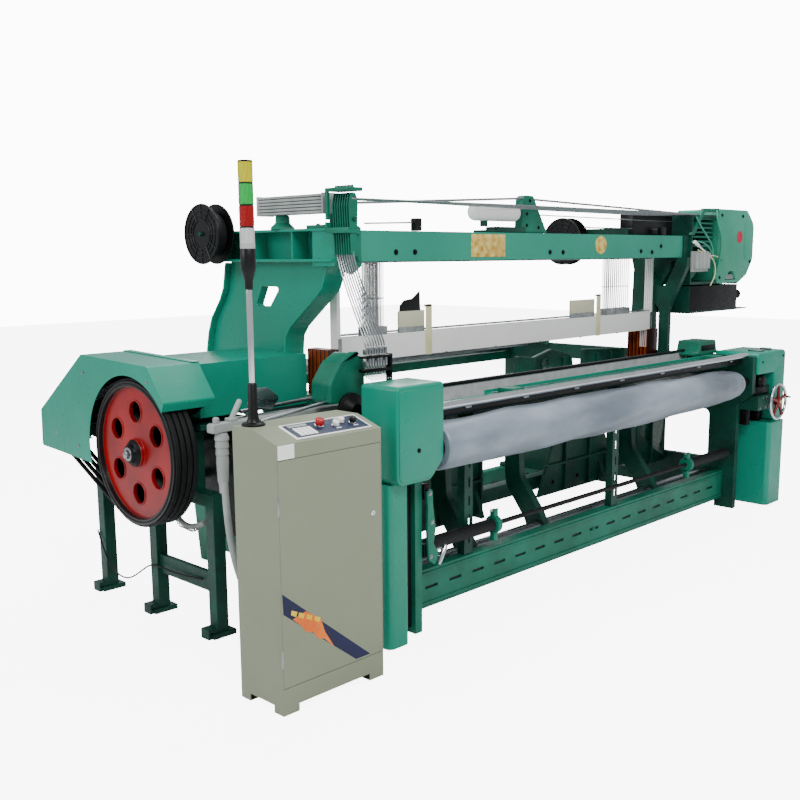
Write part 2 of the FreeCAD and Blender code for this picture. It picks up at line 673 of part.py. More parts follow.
# --------------------------------------------------------------------- spools
def spool(label, x, y, z):
    drum = fuse(label + "_drum", [
        rod(label + "_side_a", "x", "spool_rad", 6, (x, y, z)),
        rod(label + "_side_b", "x", "spool_rad", 6, (x + 82, y, z)),
        rod(label + "_core", "x", 60, "spool_wide", (x, y, z)),
    ])
    keep(label, cut(label, drum, [rod(label + "_bore", "x", "spool_pin + 0.05", 200, (x - 50, y, z))]))


spool("left_spool", -178, 1250, 1753)
spool("right_spool", 2236, 850, 1725)
spool_arms = [
    fuse("left_spool_arm", [
        box("left_arm_plate", (8, 60, 190), (-79, 1220, 1620)),
        rod("left_arm_pin", "x", "spool_pin", 120, (-192, 1250, 1753)),
    ]),
    fuse("right_spool_arm", [
        profile("right_arm_plate", "yz", [outline_edges([
            (440, 1759), (690, 1759, 20), (770, 1690, 20), (900, 1690, 20), (900, 1755, 20), (850, 1800, 20),
            (440, 1800),
        ])], 10, (2334, 0, 0)),
        rod("right_arm_pin", "x", "spool_pin", 120, (2224, 850, 1725)),
    ]),
]
# Brackets and posts that are bolted to the frame share a node as separate solids.
keep("support_brackets", group("support_brackets", [fork, worm_bracket, lever_shaft] + posts + spool_arms))


# -------------------------------------------------------------------- conduit
def arc_tube(name, route, radius):
    """A tube of straight runs joined by tangent arcs, swept along its route."""
    spots = [Vector(*spot) for spot in route]
    edges, start = [], spots[0]
    for before, here, after in zip(spots, spots[1:], spots[2:]):
        back, ahead = (before - here), (after - here)
        short = min(back.Length, ahead.Length)
        back.normalize()
        ahead.normalize()
        half = back.getAngle(ahead) / 2
        reach = 0.45 * short
        bend = reach * math.tan(half)
        centre = here + (back + ahead).normalize() * (bend / math.sin(half))
        middle = centre + (here - centre).normalize() * bend
        edges.append(Part.LineSegment(start, here + back * reach).toShape())
        edges.append(Part.Arc(here + back * reach, middle, here + ahead * reach).toShape())
        start = here + ahead * reach
    edges.append(Part.LineSegment(start, spots[-1]).toShape())
    path = Part.Wire(edges)
    circle = Part.Circle(spots[0], spots[1] - spots[0], radius)
    tube = doc.addObject("Part::Feature", name)
    tube.Shape = path.makePipeShell([Part.Wire([circle.toShape()])], True, False)
    print(f"{name}: {path.Length:.0f} mm, volume {tube.Shape.Volume / (math.pi * radius ** 2 * path.Length):.4f}")
    return put(tube, (0, 0, 0))


CONDUIT_ROUTE = [
    (-690, 420, 930), (-688, 416, 760), (-694, 400, 600), (-700, 360, 450), (-704, 290, 320),
    (-700, 200, 220), (-690, 110, 160), (-690, 50, 160),
]
keep("conduit", arc_tube("conduit", CONDUIT_ROUTE, 15))

doc.recompute()
for item in doc.Objects:
    if "Invalid" in item.State or "Error" in item.State:
        raise RuntimeError(f"{item.Name} failed: {item.State}")
os.makedirs("parts", exist_ok=True)
for label, node in nodes.items():
    shape = node.Shape
    if shape.isNull() or not shape.isValid() or not shape.Solids:
        raise RuntimeError(f"{label} has no valid shape")
    shape.exportStep(f"parts/{label}.step")
print(f"{len(nodes)} nodes written")
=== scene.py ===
"""Looks of the power loom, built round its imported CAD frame.

Places are loom places in metres: x from the left side frame's outer face,
y from the front of its legs and z from the floor.
"""
import math
import random

import bpy
from mathutils import Matrix, Vector


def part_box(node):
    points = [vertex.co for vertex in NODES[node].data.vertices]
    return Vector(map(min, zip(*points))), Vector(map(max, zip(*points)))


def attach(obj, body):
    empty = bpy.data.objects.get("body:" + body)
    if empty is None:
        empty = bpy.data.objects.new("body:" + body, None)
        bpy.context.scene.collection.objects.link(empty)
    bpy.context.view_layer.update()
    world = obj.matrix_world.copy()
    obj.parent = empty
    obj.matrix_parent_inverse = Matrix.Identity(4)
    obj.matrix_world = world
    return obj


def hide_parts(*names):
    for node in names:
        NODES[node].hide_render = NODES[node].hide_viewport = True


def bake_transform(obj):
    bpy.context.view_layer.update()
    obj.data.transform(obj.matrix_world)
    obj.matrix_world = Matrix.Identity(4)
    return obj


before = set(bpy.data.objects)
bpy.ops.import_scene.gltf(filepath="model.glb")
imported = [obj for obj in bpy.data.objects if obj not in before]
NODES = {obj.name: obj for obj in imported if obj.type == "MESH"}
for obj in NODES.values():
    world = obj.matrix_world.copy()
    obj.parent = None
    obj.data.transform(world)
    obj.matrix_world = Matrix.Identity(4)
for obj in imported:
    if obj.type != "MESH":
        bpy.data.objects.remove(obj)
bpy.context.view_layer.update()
FRAME_OVERHANG = 0.095
LEFT_FRAME_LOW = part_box("left_side_frame")[0]
ORIGIN = Vector((LEFT_FRAME_LOW[0], LEFT_FRAME_LOW[1] + FRAME_OVERHANG, 0))
FRAME = "loom_frame"
TO_LEFT, TO_RIGHT = (-1, 0, 0), (1, 0, 0)
TO_FRONT, TO_BACK = (0, -1, 0), (0, 1, 0)
DOWN, UP = (0, 0, -1), (0, 0, 1)

# Loom places of the turning parts' axes, and what repeats.
WHEEL_Y, WHEEL_Z = 0.865, 0.82
MOTOR_Y, MOTOR_Z = 1.52, 0.865
WARP_Y, WARP_Z = 1.6, 0.47
ROLL_Y, ROLL_Z = -0.05, 0.84
TOWER_X = -0.845
HEALDS, HEALD_Y, HEALD_PITCH = 4, 0.605, 0.014
SELECTORS, SELECTOR_Y, SELECTOR_PITCH = 8, 0.3025, 0.015

# How finely edges and seams are drawn, in segments and degrees.
EDGE_SEGMENTS, EDGE_ANGLE = 3, 35
SHADE_ANGLE, TUBE_SHADE_ANGLE = 38, 40
LENS_RIBS = 36
SEED = 7
random.seed(SEED)


def at(x, y, z):
    """A loom place in the scene's own frame."""
    return ORIGIN + Vector((x, y, z))


# ------------------------------------------------------------ camera and light
CAMERA_PLACE = (-3.018, -2.888, 1.650)
CAMERA_YAW, CAMERA_PITCH, CAMERA_ROLL = 46.04, 9.68, -0.35
CAMERA_LENS = 44.9
CAMERA_SHIFT = (-0.0134, 0.0308)
WORLD_GLOW, BACKDROP_GLOW, FLOOR_GLOW = 0.6, 12.0, 7.0


def set_camera():
    data = bpy.data.cameras.new("camera")
    camera = bpy.data.objects.new("camera", data)
    bpy.context.collection.objects.link(camera)
    yaw, pitch, roll = (math.radians(turn) for turn in (CAMERA_YAW, CAMERA_PITCH, CAMERA_ROLL))
    aim = Vector((math.sin(yaw) * math.cos(pitch), math.cos(yaw) * math.cos(pitch), -math.sin(pitch)))
    turn = aim.to_track_quat("-Z", "Y").to_matrix() @ Matrix.Rotation(roll, 3, "Z")
    camera.location = at(*CAMERA_PLACE)
    camera.rotation_euler = turn.to_euler()
    data.lens = CAMERA_LENS
    data.shift_x, data.shift_y = CAMERA_SHIFT
    data.clip_end = 60
    bpy.context.scene.camera = camera


def area_light(name, place, aim, power, wide, colour=(1, 1, 1)):
    data = bpy.data.lights.new(name, "AREA")
    data.energy = power
    data.shape = "RECTANGLE"
    data.size = wide
    data.size_y = wide * 0.6
    data.color = colour
    lamp = bpy.data.objects.new(name, data)
    lamp.location = place
    lamp.rotation_euler = (Vector(aim) - Vector(place)).to_track_quat("-Z", "Y").to_euler()
    bpy.context.collection.objects.link(lamp)


def set_world():
    world = bpy.data.worlds.new("studio")
    world.use_nodes = True
    nodes, links = world.node_tree.nodes, world.node_tree.links
    glow, backdrop = nodes["Background"], nodes.new("ShaderNodeBackground")
    glow.inputs["Color"].default_value = (0.93, 0.96, 1.0, 1)
    glow.inputs["Strength"].default_value = WORLD_GLOW
    backdrop.inputs["Color"].default_value = (1, 1, 1, 1)
    backdrop.inputs["Strength"].default_value = BACKDROP_GLOW
    seen, mix = nodes.new("ShaderNodeLightPath"), nodes.new("ShaderNodeMixShader")
    links.new(seen.outputs["Is Camera Ray"], mix.inputs["Fac"])
    links.new(glow.outputs["Background"], mix.inputs[1])
    links.new(backdrop.outputs["Background"], mix.inputs[2])
    links.new(mix.outputs["Shader"], nodes["World Output"].inputs["Surface"])
    bpy.context.scene.world = world


def set_lights():
    area_light("key_light", (-3.5, -5.0, 5.5), (0, 0, 0.8), 315, 3.5, (1, 0.98, 0.95))
    area_light("fill_light", (-6.0, 1.0, 3.2), (0, 0, 0.9), 95, 3.0, (0.95, 0.98, 1))
    area_light("top_light", (0.5, 0.5, 6.0), (0, 0, 0), 265, 5.0)
    area_light("back_light", (4.0, 5.5, 4.0), (0, 0, 0.8), 130, 3.5)


def set_floor():
    clear()
    bpy.ops.mesh.primitive_plane_add(size=40, location=(0, 0, -0.002))
    floor = bpy.context.object
    floor.name = "floor"
    paint = finish("floor_paint", "fbfbfb", "f6f7f7", 0.7, patch=0.4, grain=30, bump=0.01)
    nodes, links = paint.node_tree.nodes, paint.node_tree.links
    shader = nodes["Principled BSDF"]
    shader.inputs["Emission Color"].default_value = (1, 1, 1, 1)
    seen = nodes.new("ShaderNodeLightPath")
    lift = reckon(nodes, links, "MULTIPLY", seen.outputs["Is Camera Ray"], FLOOR_GLOW)
    links.new(lift, shader.inputs["Emission Strength"])
    floor.data.materials.append(paint)


# -------------------------------------------------------------------- finishes
def tint(code):
    """The linear colour of a hex code."""
    parts = [int(code[spot:spot + 2], 16) / 255 for spot in (0, 2, 4)]
    return tuple(((part + 0.055) / 1.055) ** 2.4 for part in parts) + (1.0,)


def blank(name, rough, metal=0.0, coat=0.0):
    """A material with its shader's plain values set."""
    made = bpy.data.materials.new(name)
    made.use_nodes = True
    shader = made.node_tree.nodes["Principled BSDF"]
    shader.inputs["Roughness"].default_value = rough
    shader.inputs["Metallic"].default_value = metal
    shader.inputs["Coat Weight"].default_value = coat
    shader.inputs["Coat Roughness"].default_value = 0.15
    shader.inputs["Specular IOR Level"].default_value = 0.32
    return made, made.node_tree.nodes, made.node_tree.links, shader


def object_space(nodes, links, scale=(1, 1, 1), offset=(0, 0, 0)):
    """Object coordinates, stretched and moved."""
    source = nodes.new("ShaderNodeTexCoord")
    mapping = nodes.new("ShaderNodeMapping")
    mapping.inputs["Scale"].default_value = scale
    mapping.inputs["Location"].default_value = offset
    links.new(source.outputs["Object"], mapping.inputs["Vector"])
    return mapping.outputs["Vector"]


def reckon(nodes, links, operation, *terms):
    """A math node over numbers and the outputs of other nodes."""
    made = nodes.new("ShaderNodeMath")
    made.operation = operation
    for socket, term in zip(made.inputs, terms):
        if isinstance(term, (int, float)):
            socket.default_value = term
        else:
            links.new(term, socket)
    return made.outputs[0]


def noise(nodes, links, space, scale, detail=4.0):
    made = nodes.new("ShaderNodeTexNoise")
    made.inputs["Scale"].default_value = scale
    made.inputs["Detail"].default_value = detail
    links.new(space, made.inputs["Vector"])
    return made.outputs["Fac"]


def ramp(nodes, links, value, stops):
    """A colour ramp over (place, hex colour) stops."""
    made = nodes.new("ShaderNodeValToRGB")
    points = made.color_ramp.elements
    while len(points) < len(stops):
        points.new(0.5)
    for point, (place, code) in zip(points, stops):
        point.position = place
        point.color = tint(code)
    links.new(value, made.inputs["Fac"])
    return made.outputs["Color"]


def spread_rough(nodes, links, shader, value, low, high):
    made = nodes.new("ShaderNodeMapRange")
    made.inputs["From Min"].default_value = 0.3
    made.inputs["From Max"].default_value = 0.7
    made.inputs["To Min"].default_value = low
    made.inputs["To Max"].default_value = high
    links.new(value, made.inputs["Value"])
    links.new(made.outputs["Result"], shader.inputs["Roughness"])


def relief(nodes, links, shader, value, strength, distance=0.002):
    made = nodes.new("ShaderNodeBump")
    made.inputs["Strength"].default_value = strength
    made.inputs["Distance"].default_value = distance
    links.new(value, made.inputs["Height"])
    links.new(made.outputs["Normal"], shader.inputs["Normal"])


def finish(name, light, dark, rough, spread=0.08, metal=0.0, patch=2.5, grain=160, bump=0.06,
           stretch=(1, 1, 1), coat=0.0):
    """A finish that drifts between two tones, with a grain in its gloss and surface."""
    made, nodes, links, shader = blank(name, rough, metal, coat)
    space = object_space(nodes, links, stretch)
    drift = noise(nodes, links, space, patch)
    links.new(ramp(nodes, links, drift, [(0.32, dark), (0.68, light)]), shader.inputs["Base Color"])
    fine = noise(nodes, links, space, grain, 6)
    spread_rough(nodes, links, shader, noise(nodes, links, space, patch * 9), rough - spread, rough + spread)
    relief(nodes, links, shader, fine, bump)
    return made


def striped(name, stops, axis, scale, rough, bump=0.2, coat=0.0):
    """Bands along one axis, as on combs, heddle packs and laminated blocks."""
    made, nodes, links, shader = blank(name, rough, 0, coat)
    space = object_space(nodes, links)
    wave = nodes.new("ShaderNodeTexWave")
    wave.bands_direction = axis
    wave.inputs["Scale"].default_value = scale
    wave.inputs["Distortion"].default_value = 0.6
    wave.inputs["Detail"].default_value = 2
    wave.inputs["Detail Scale"].default_value = 1.5
    links.new(space, wave.inputs["Vector"])
    links.new(ramp(nodes, links, wave.outputs["Fac"], stops), shader.inputs["Base Color"])
    relief(nodes, links, shader, wave.outputs["Fac"], bump)
    return made


def wheel_paint(name, centre, red_radius):
    """Red enamel on the wheel's web and dark bare iron on its rim."""
    made, nodes, links, shader = blank(name, 0.3, 0.0, 0.15)
    space = object_space(nodes, links, (0, 1, 1), (0, -centre[1], -centre[2]))
    length = nodes.new("ShaderNodeVectorMath")
    length.operation = "LENGTH"
    links.new(space, length.inputs[0])
    drift = noise(nodes, links, object_space(nodes, links), 6)
    worn = reckon(nodes, links, "MULTIPLY_ADD", drift, 0.006, length.outputs["Value"])
    inside = reckon(nodes, links, "GREATER_THAN", worn, red_radius + 0.003)
    mix = nodes.new("ShaderNodeMix")
    mix.data_type = "RGBA"
    links.new(inside, mix.inputs["Factor"])
    red = ramp(nodes, links, drift, [(0.3, "760004"), (0.7, "a00006")])
    black = ramp(nodes, links, drift, [(0.3, "050505"), (0.7, "101112")])
    links.new(red, mix.inputs["A"])
    links.new(black, mix.inputs["B"])
    links.new(mix.outputs["Result"], shader.inputs["Base Color"])
    relief(nodes, links, shader, noise(nodes, links, object_space(nodes, links), 90), 0.12)
    return made


def ribbed_lens(name, light, dark, centre):
    """A coloured lamp lens with upright ribs moulded round it."""
    made, nodes, links, shader = blank(name, 0.25, 0.0, 0.1)
    space = object_space(nodes, links, (1, 1, 1), (-centre[0], -centre[1], 0))
    split = nodes.new("ShaderNodeSeparateXYZ")
    links.new(space, split.inputs[0])
    angle = reckon(nodes, links, "ARCTAN2", split.outputs["X"], split.outputs["Y"])
    rib = reckon(nodes, links, "SINE", reckon(nodes, links, "MULTIPLY", angle, LENS_RIBS))
    tone = ramp(nodes, links, rib, [(0.0, dark), (0.7, light)])
    links.new(tone, shader.inputs["Base Color"])
    relief(nodes, links, shader, rib, 0.5, 0.001)
    return made


def roll_sheet_finish():
    """A silver woven sheet with a slight sheen and soft stains."""
    made, nodes, links, shader = blank("roll_sheet", 0.36, 0.25)
    shader.inputs["Sheen Weight"].default_value = 0.25
    shader.inputs["Sheen Roughness"].default_value = 0.4
    drift = noise(nodes, links, object_space(nodes, links, (0.5, 1, 1)), 3.5)
    links.new(ramp(nodes, links, drift, [(0.25, "4f5864"), (0.5, "76828f"), (0.75, "a6b2c1")]),
        shader.inputs["Base Color"])
    weave = nodes.new("ShaderNodeTexWave")
    weave.inputs["Scale"].default_value = 160
    links.new(object_space(nodes, links), weave.inputs["Vector"])
    crease = noise(nodes, links, object_space(nodes, links, (0.35, 1, 1)), 26, 8)
    total = reckon(nodes, links, "MULTIPLY_ADD", weave.outputs["Fac"], 0.12, crease)
    spread_rough(nodes, links, shader, crease, 0.34, 0.52)
    relief(nodes, links, shader, total, 0.35, 0.004)
    return made


LAMP_CENTRE = at(TOWER_X, 0, 0)
WHEEL_CENTRE = at(0, WHEEL_Y, WHEEL_Z)
GREEN = finish("loom_green", "009178", "00826a", 0.34, patch=1.6, grain=240, bump=0.035, coat=0.18)
CAST_GREEN = finish("cast_green", "00745c", "005c47", 0.4, patch=5, grain=70, bump=0.16, coat=0.08)
# Painted shade: the loom green darkened for the right side frame and other parts that stand in shadow.
SHADED_GREEN = finish("shaded_green", "004a3a", "003027", 0.44, patch=6, grain=60, bump=0.18, coat=0.05)
BEAM_GREEN = finish("beam_green", "2b947c", "21826c", 0.4, patch=1.2, grain=200, bump=0.05, coat=0.05)
CABINET = finish("cabinet_grey", "8a917b", "828973", 0.55, patch=1.2, grain=420, bump=0.12)
CHROME = finish("chrome", "e6e8ea", "d2d5d8", 0.12, 0.04, 1.0, 4, 90, 0.01)
STEEL = finish("ground_steel", "a9adb0", "8b8f93", 0.3, 0.08, 1.0, 6, 120, 0.05, (0.1, 1, 1))
IRON = finish("oiled_iron", "141617", "070808", 0.4, 0.1, 0.6, 8, 90, 0.2)
RUBBER = finish("rubber", "101214", "060707", 0.62, 0.08, 0, 9, 260, 0.15)
BLACK = finish("black_plastic", "0e0f10", "070708", 0.35, 0.06, 0, 6, 300, 0.05)
GREY_PLASTIC = finish("grey_plastic", "a9aeac", "8d9391", 0.45, 0.08, 0, 7, 200, 0.08)
WHITE = finish("white_coating", "fbfbf8", "f4f4f0", 0.4, 0.06, 0, 2, 200, 0.03)
CREAM = finish("cream_card", "ebe6c2", "ddd6a6", 0.6, 0.06, 0, 14, 200, 0.1)
RED = finish("red_plastic", "c0000a", "a20008", 0.25, 0.05, 0, 6, 200, 0.02, coat=0.5)
DARK_RED = finish("dark_red_enamel", "7c0412", "58030c", 0.35, 0.08, 0, 14, 90, 0.12, coat=0.3)
GOLD = finish("gold_plate", "f6e48c", "c08a22", 0.42, 0.1, 0.25, 26, 60, 0.35)
NAVY = finish("navy_film", "0b1246", "080d34", 0.35, 0.05, 0, 8, 200, 0.02)
ORANGE = finish("orange_film", "f08a28", "dd5f12", 0.35, 0.05, 0, 10, 200, 0.02)
YELLOW = finish("yellow_film", "f2d83a", "dcb318", 0.35, 0.05, 0, 10, 200, 0.02)
PANEL_FILM = finish("panel_film", "1f2d4c", "182440", 0.4, 0.05, 0, 8, 200, 0.03)
HEDDLE = finish("heddle_wire", "b9bcbc", "8f9293", 0.3, 0.08, 0.8, 20, 160, 0.05)
REED_WIRE = finish("reed_wire", "c9cccd", "b0b4b6", 0.45, 0.06, 0, 20, 200, 0.05)
LABEL_RED = finish("label_red", "c8304a", "b82038", 0.4, 0.05, 0, 20, 200, 0.02)
DOBBY_GREEN = finish("dobby_green", "3da587", "2b8e70", 0.33, patch=1.6, grain=160, bump=0.05, coat=0.25)
BAKELITE = striped("bakelite", [(0.0, "2a0602"), (0.35, "6e1804"), (0.7, "b0530c"), (1.0, "5c1002")], "Y",
    11, 0.3, 0.4, 0.4)
PACKED = striped("packed_card", [(0.0, "cfcbb0"), (0.5, "ece9d4"), (1.0, "bdb998")], "X", 40, 0.55, 0.4)
WHEEL = wheel_paint("wheel_paint", WHEEL_CENTRE, 0.284)
SHEET = roll_sheet_finish()


# ----------------------------------------------------------------- modelling
def clear():
    bpy.ops.object.select_all(action="DESELECT")


def pick(*pieces):
    clear()
    for piece in pieces:
        piece.select_set(True)
    bpy.context.view_layer.objects.active = pieces[0]


def settle(piece):
    """Puts a piece's place, turn and scale into its mesh."""
    pick(piece)
    bpy.ops.object.transform_apply(location=True, rotation=True, scale=True)
    return piece


def run_modifier(piece, kind, **values):
    pick(piece)
    step = piece.modifiers.new(kind.lower(), kind)
    for key, value in values.items():
        setattr(step, key, value)
    bpy.ops.object.modifier_apply(modifier=step.name)


def cut(piece, tool):
    """Takes a tool's shape out of a piece."""
    run_modifier(piece, "BOOLEAN", object=tool, operation="DIFFERENCE", solver="EXACT")
    bpy.data.objects.remove(tool)


def swing(piece, angle, place):
    """Turns a piece made at the loom's zero about x and puts it at a place."""
    for move in (Matrix.Translation(-ORIGIN), Matrix.Rotation(angle, 4, "X"), Matrix.Translation(place)):
        piece.data.transform(move)
    return piece


def round_edges(piece, edge):
    if edge:
        run_modifier(piece, "BEVEL", width=edge, segments=EDGE_SEGMENTS, limit_method="ANGLE",
                     angle_limit=math.radians(EDGE_ANGLE))
    pick(piece)
    bpy.ops.object.shade_smooth_by_angle(angle=math.radians(SHADE_ANGLE))
    return piece


def slab(name, low, high, edge=0.002):
    """A block between two corners with rounded edges."""
    low, high = at(*low), at(*high)
    clear()
    bpy.ops.mesh.primitive_cube_add(size=1, location=(low + high) / 2)
    piece = bpy.context.object
    piece.name = name
    piece.scale = high - low
    return round_edges(settle(piece), edge)


def turned(name, start, aim, steps, sides=40, edge=0.0):
    """A lathe piece from a start along aim. Steps are (distance, radius)."""
    clear()
    bpy.ops.mesh.primitive_circle_add(vertices=sides, radius=steps[0][1], fill_type="NGON")
    piece = bpy.context.object
    piece.name = name
    bpy.ops.object.mode_set(mode="EDIT")
    bpy.ops.mesh.select_all(action="SELECT")
    for here, there in zip(steps, steps[1:]):
        bpy.ops.mesh.extrude_region_move(TRANSFORM_OT_translate={"value": (0, 0, there[0] - here[0])})
        grow = there[1] / here[1]
        bpy.ops.transform.resize(value=(grow, grow, 1))
    bpy.ops.mesh.select_all(action="SELECT")
    bpy.ops.mesh.normals_make_consistent(inside=False)
    bpy.ops.object.mode_set(mode="OBJECT")
    piece.rotation_euler = Vector(aim).to_track_quat("Z", "Y").to_euler()
    piece.location = at(*start)
    return round_edges(settle(piece), edge)


def rod(name, start, end, radius, sides=20, edge=0.0015):
    reach = Vector(end) - Vector(start)
    return turned(name, start, reach, [(0, radius), (reach.length, radius)], sides, edge)


def corner_arc(before, here, after, radius, count=6):
    """Points of the arc that rounds a corner."""
    here, back, ahead = Vector(here[:2]), Vector(before[:2]), Vector(after[:2])
    back, ahead = (back - here).normalized(), (ahead - here).normalized()
    half = back.angle(ahead) / 2
    centre = here + (back + ahead).normalized() * (radius / math.sin(half))
    first = here + back * (radius / math.tan(half)) - centre
    sweep = first.angle_signed(here + ahead * (radius / math.tan(half)) - centre)
    return [centre + Matrix.Rotation(-sweep * step / count, 2) @ first for step in range(count + 1)]


def outline(points):
    """A flat outline. A third value rounds that corner."""
    drawn = []
    for index, point in enumerate(points):
        if len(point) == 2:
            drawn.append(Vector(point))
            continue
        drawn += corner_arc(points[index - 1], point, points[(index + 1) % len(points)], point[2])
    return drawn


PLANES = {
    "yz": lambda u, v, depth: (depth, u, v),
    "xz": lambda u, v, depth: (u, depth, v),
    "xy": lambda u, v, depth: (u, v, depth),
}


def plate(name, plane, points, start, thick, edge=0.002):
    """An outline in a plane, extruded from its start depth."""
    drawn = outline(points)
    clear()
    bpy.ops.mesh.primitive_circle_add(vertices=len(drawn), radius=1, fill_type="NGON")
    piece = bpy.context.object
    piece.name = name
    lay = PLANES[plane]
    for vertex, point in zip(piece.data.vertices, drawn):
        vertex.co = at(*lay(point.x, point.y, start))
    shift = Vector(lay(0, 0, thick))
    bpy.ops.object.mode_set(mode="EDIT")
    bpy.ops.mesh.select_all(action="SELECT")
    bpy.ops.mesh.extrude_region_move(TRANSFORM_OT_translate={"value": shift})
    bpy.ops.mesh.select_all(action="SELECT")
    bpy.ops.mesh.normals_make_consistent(inside=False)
    bpy.ops.object.mode_set(mode="OBJECT")
    return round_edges(piece, edge)


def tube(name, points, radius):
    """A bent tube along a smooth line."""
    curve = bpy.data.curves.new(name, "CURVE")
    curve.dimensions = "3D"
    curve.bevel_depth = radius
    curve.bevel_resolution = 5
    curve.use_fill_caps = True
    line = curve.splines.new("NURBS")
    line.points.add(len(points) - 1)
    for spot, point in zip(line.points, points):
        spot.co = (*at(*point), 1)
    line.order_u = min(4, len(points))
    line.use_endpoint_u = True
    line.resolution_u = 8
    piece = bpy.data.objects.new(name, curve)
    bpy.context.collection.objects.link(piece)
    pick(piece)
    bpy.ops.object.convert(target="MESH")
    piece = bpy.context.object
    bpy.ops.object.shade_smooth_by_angle(angle=math.radians(TUBE_SHADE_ANGLE))
    return piece


def hoop(name, centre, aim, radius, thick, around=48):
    clear()
    turn = Vector(aim).to_track_quat("Z", "Y").to_euler()
    bpy.ops.mesh.primitive_torus_add(location=at(*centre), rotation=turn, major_radius=radius,
                                     minor_radius=thick, major_segments=around, minor_segments=14)
    piece = bpy.context.object
    piece.name = name
    settle(piece)
    bpy.ops.object.shade_smooth()
    return piece


def together(name, pieces):
    """Joins pieces that share a finish into one mesh."""
    pick(*pieces)
    if len(pieces) > 1:
        bpy.ops.object.join()
    piece = bpy.context.object
    piece.name = name
    return piece


def copies(name, piece, shifts):
    """A piece repeated by shifts, joined into one mesh."""
    made = [piece]
    for shift in shifts:
        twin = piece.copy()
        twin.data = piece.data.copy()
        bpy.context.collection.objects.link(twin)
        twin.data.transform(Matrix.Translation(Vector(shift)))
        made.append(twin)
    return together(name, made)


def fit(piece, paint, body=FRAME):
    """Gives a piece its finish and the body that it moves with."""
    piece.data.materials.clear()
    piece.data.materials.append(paint)
    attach(piece, body)
    return piece


def fit_set(name, pieces, paint, body=FRAME):
    """Joins pieces that share a finish and a body, and fits them as one."""
    return fit(together(name, pieces), paint, body)


def fit_bent(piece, paint):
    """Gives a flexible wire its finish."""
    piece.data.materials.clear()
    piece.data.materials.append(paint)
    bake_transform(piece)


def bolt_at(place, aim, size):
    """A hexagon bolt head on its washer."""
    head = turned("head", place, aim, [(size * 0.18, size), (size * 0.85, size),
        (size * 0.95, size * 0.86)], 6, 0.0006)
    washer = turned("washer", place, aim, [(0, size * 1.35), (size * 0.2, size * 1.35)], 20, 0.0004)
    return together("bolt", [head, washer])


def bolts(name, places, aim, size, paint, body=FRAME):
    first = bolt_at(places[0], aim, size)
    shifts = [Vector(place) - Vector(places[0]) for place in places[1:]]
    return fit(copies(name, first, shifts), paint, body)


def ease(node, paint, edge=0.002):
    """Rounds the edges of a CAD node with live modifiers and paints it."""
    piece = NODES[node]
    paint_node(node, paint)
    weld = piece.modifiers.new("weld", "WELD")
    weld.merge_threshold = 0.00002
    flat = piece.modifiers.new("flat", "DECIMATE")
    flat.decimate_type = "DISSOLVE"
    flat.angle_limit = math.radians(0.6)
    rounding = piece.modifiers.new("rounding", "BEVEL")
    rounding.width = edge
    rounding.segments = 2
    rounding.limit_method = "ANGLE"
    rounding.angle_limit = math.radians(40)
    normals = piece.modifiers.new("normals", "WEIGHTED_NORMAL")
    normals.keep_sharp = False
    normals.weight = 80


def paint_node(node, paint):
    mesh = NODES[node].data
    mesh.materials.clear()
    mesh.materials.append(paint)


# ----------------------------------------------------------------- CAD pieces
EASED = {
    "left_side_frame": (CAST_GREEN, 0.004), "right_side_frame": (SHADED_GREEN, 0.004),
    "left_gantry": (GREEN, 0.004), "right_gantry": (SHADED_GREEN, 0.004),
    "top_beam": (BEAM_GREEN, 0.004), "tie_rails": (CAST_GREEN, 0.0025),
    "breast_beam": (GREEN, 0.003), "temple_rail": (GREEN, 0.0015), "lower_covers": (GREEN, 0.003),
    "belt_guard": (GREEN, 0.0012), "drive_cover": (GREEN, 0.0012), "outboard_stand": (SHADED_GREEN, 0.003),
    "motor": (IRON, 0.003), "cabinet_shell": (CABINET, 0.0012), "cabinet_door": (CABINET, 0.0008),
    "control_unit": (GREY_PLASTIC, 0.004), "dobby_frame": (SHADED_GREEN, 0.003),
    "support_brackets": (SHADED_GREEN, 0.003), "heald_guides": (BAKELITE, 0.001),
    "sley_swords": (SHADED_GREEN, 0.006), "sley_beam": (CAST_GREEN, 0.003), "reed": (REED_WIRE, 0.001),
    "flywheel": (WHEEL, 0.003), "motor_pulley": (IRON, 0.002), "drive_belts": (RUBBER, 0.0015),
    "warp_beam": (CAST_GREEN, 0.003), "left_spool": (BLACK, 0.002), "right_spool": (BLACK, 0.002),
    "dobby_knob": (BLACK, 0.003), "emergency_stop": (RED, 0.003), "start_button": (WHITE, 0.002),
    "stop_button": (WHITE, 0.002), "mode_knob": (BLACK, 0.002), "main_shaft": (STEEL, 0.002),
    "take_up_roller": (IRON, 0.002), "cloth_roller": (RUBBER, 0.002), "breast_tube": (CHROME, 0.002),
    "rocking_shaft": (STEEL, 0.002), "back_rest_roller": (STEEL, 0.002),
}


def dress_nodes():
    for node, (paint, edge) in EASED.items():
        ease(node, paint, edge)
    for number in range(HEALDS):
        ease(f"heald_frame_{number + 1}", WHITE, 0.0015)
    for number in range(SELECTORS):
        ease(f"selector_lever_{number + 1}", CAST_GREEN, 0.001)


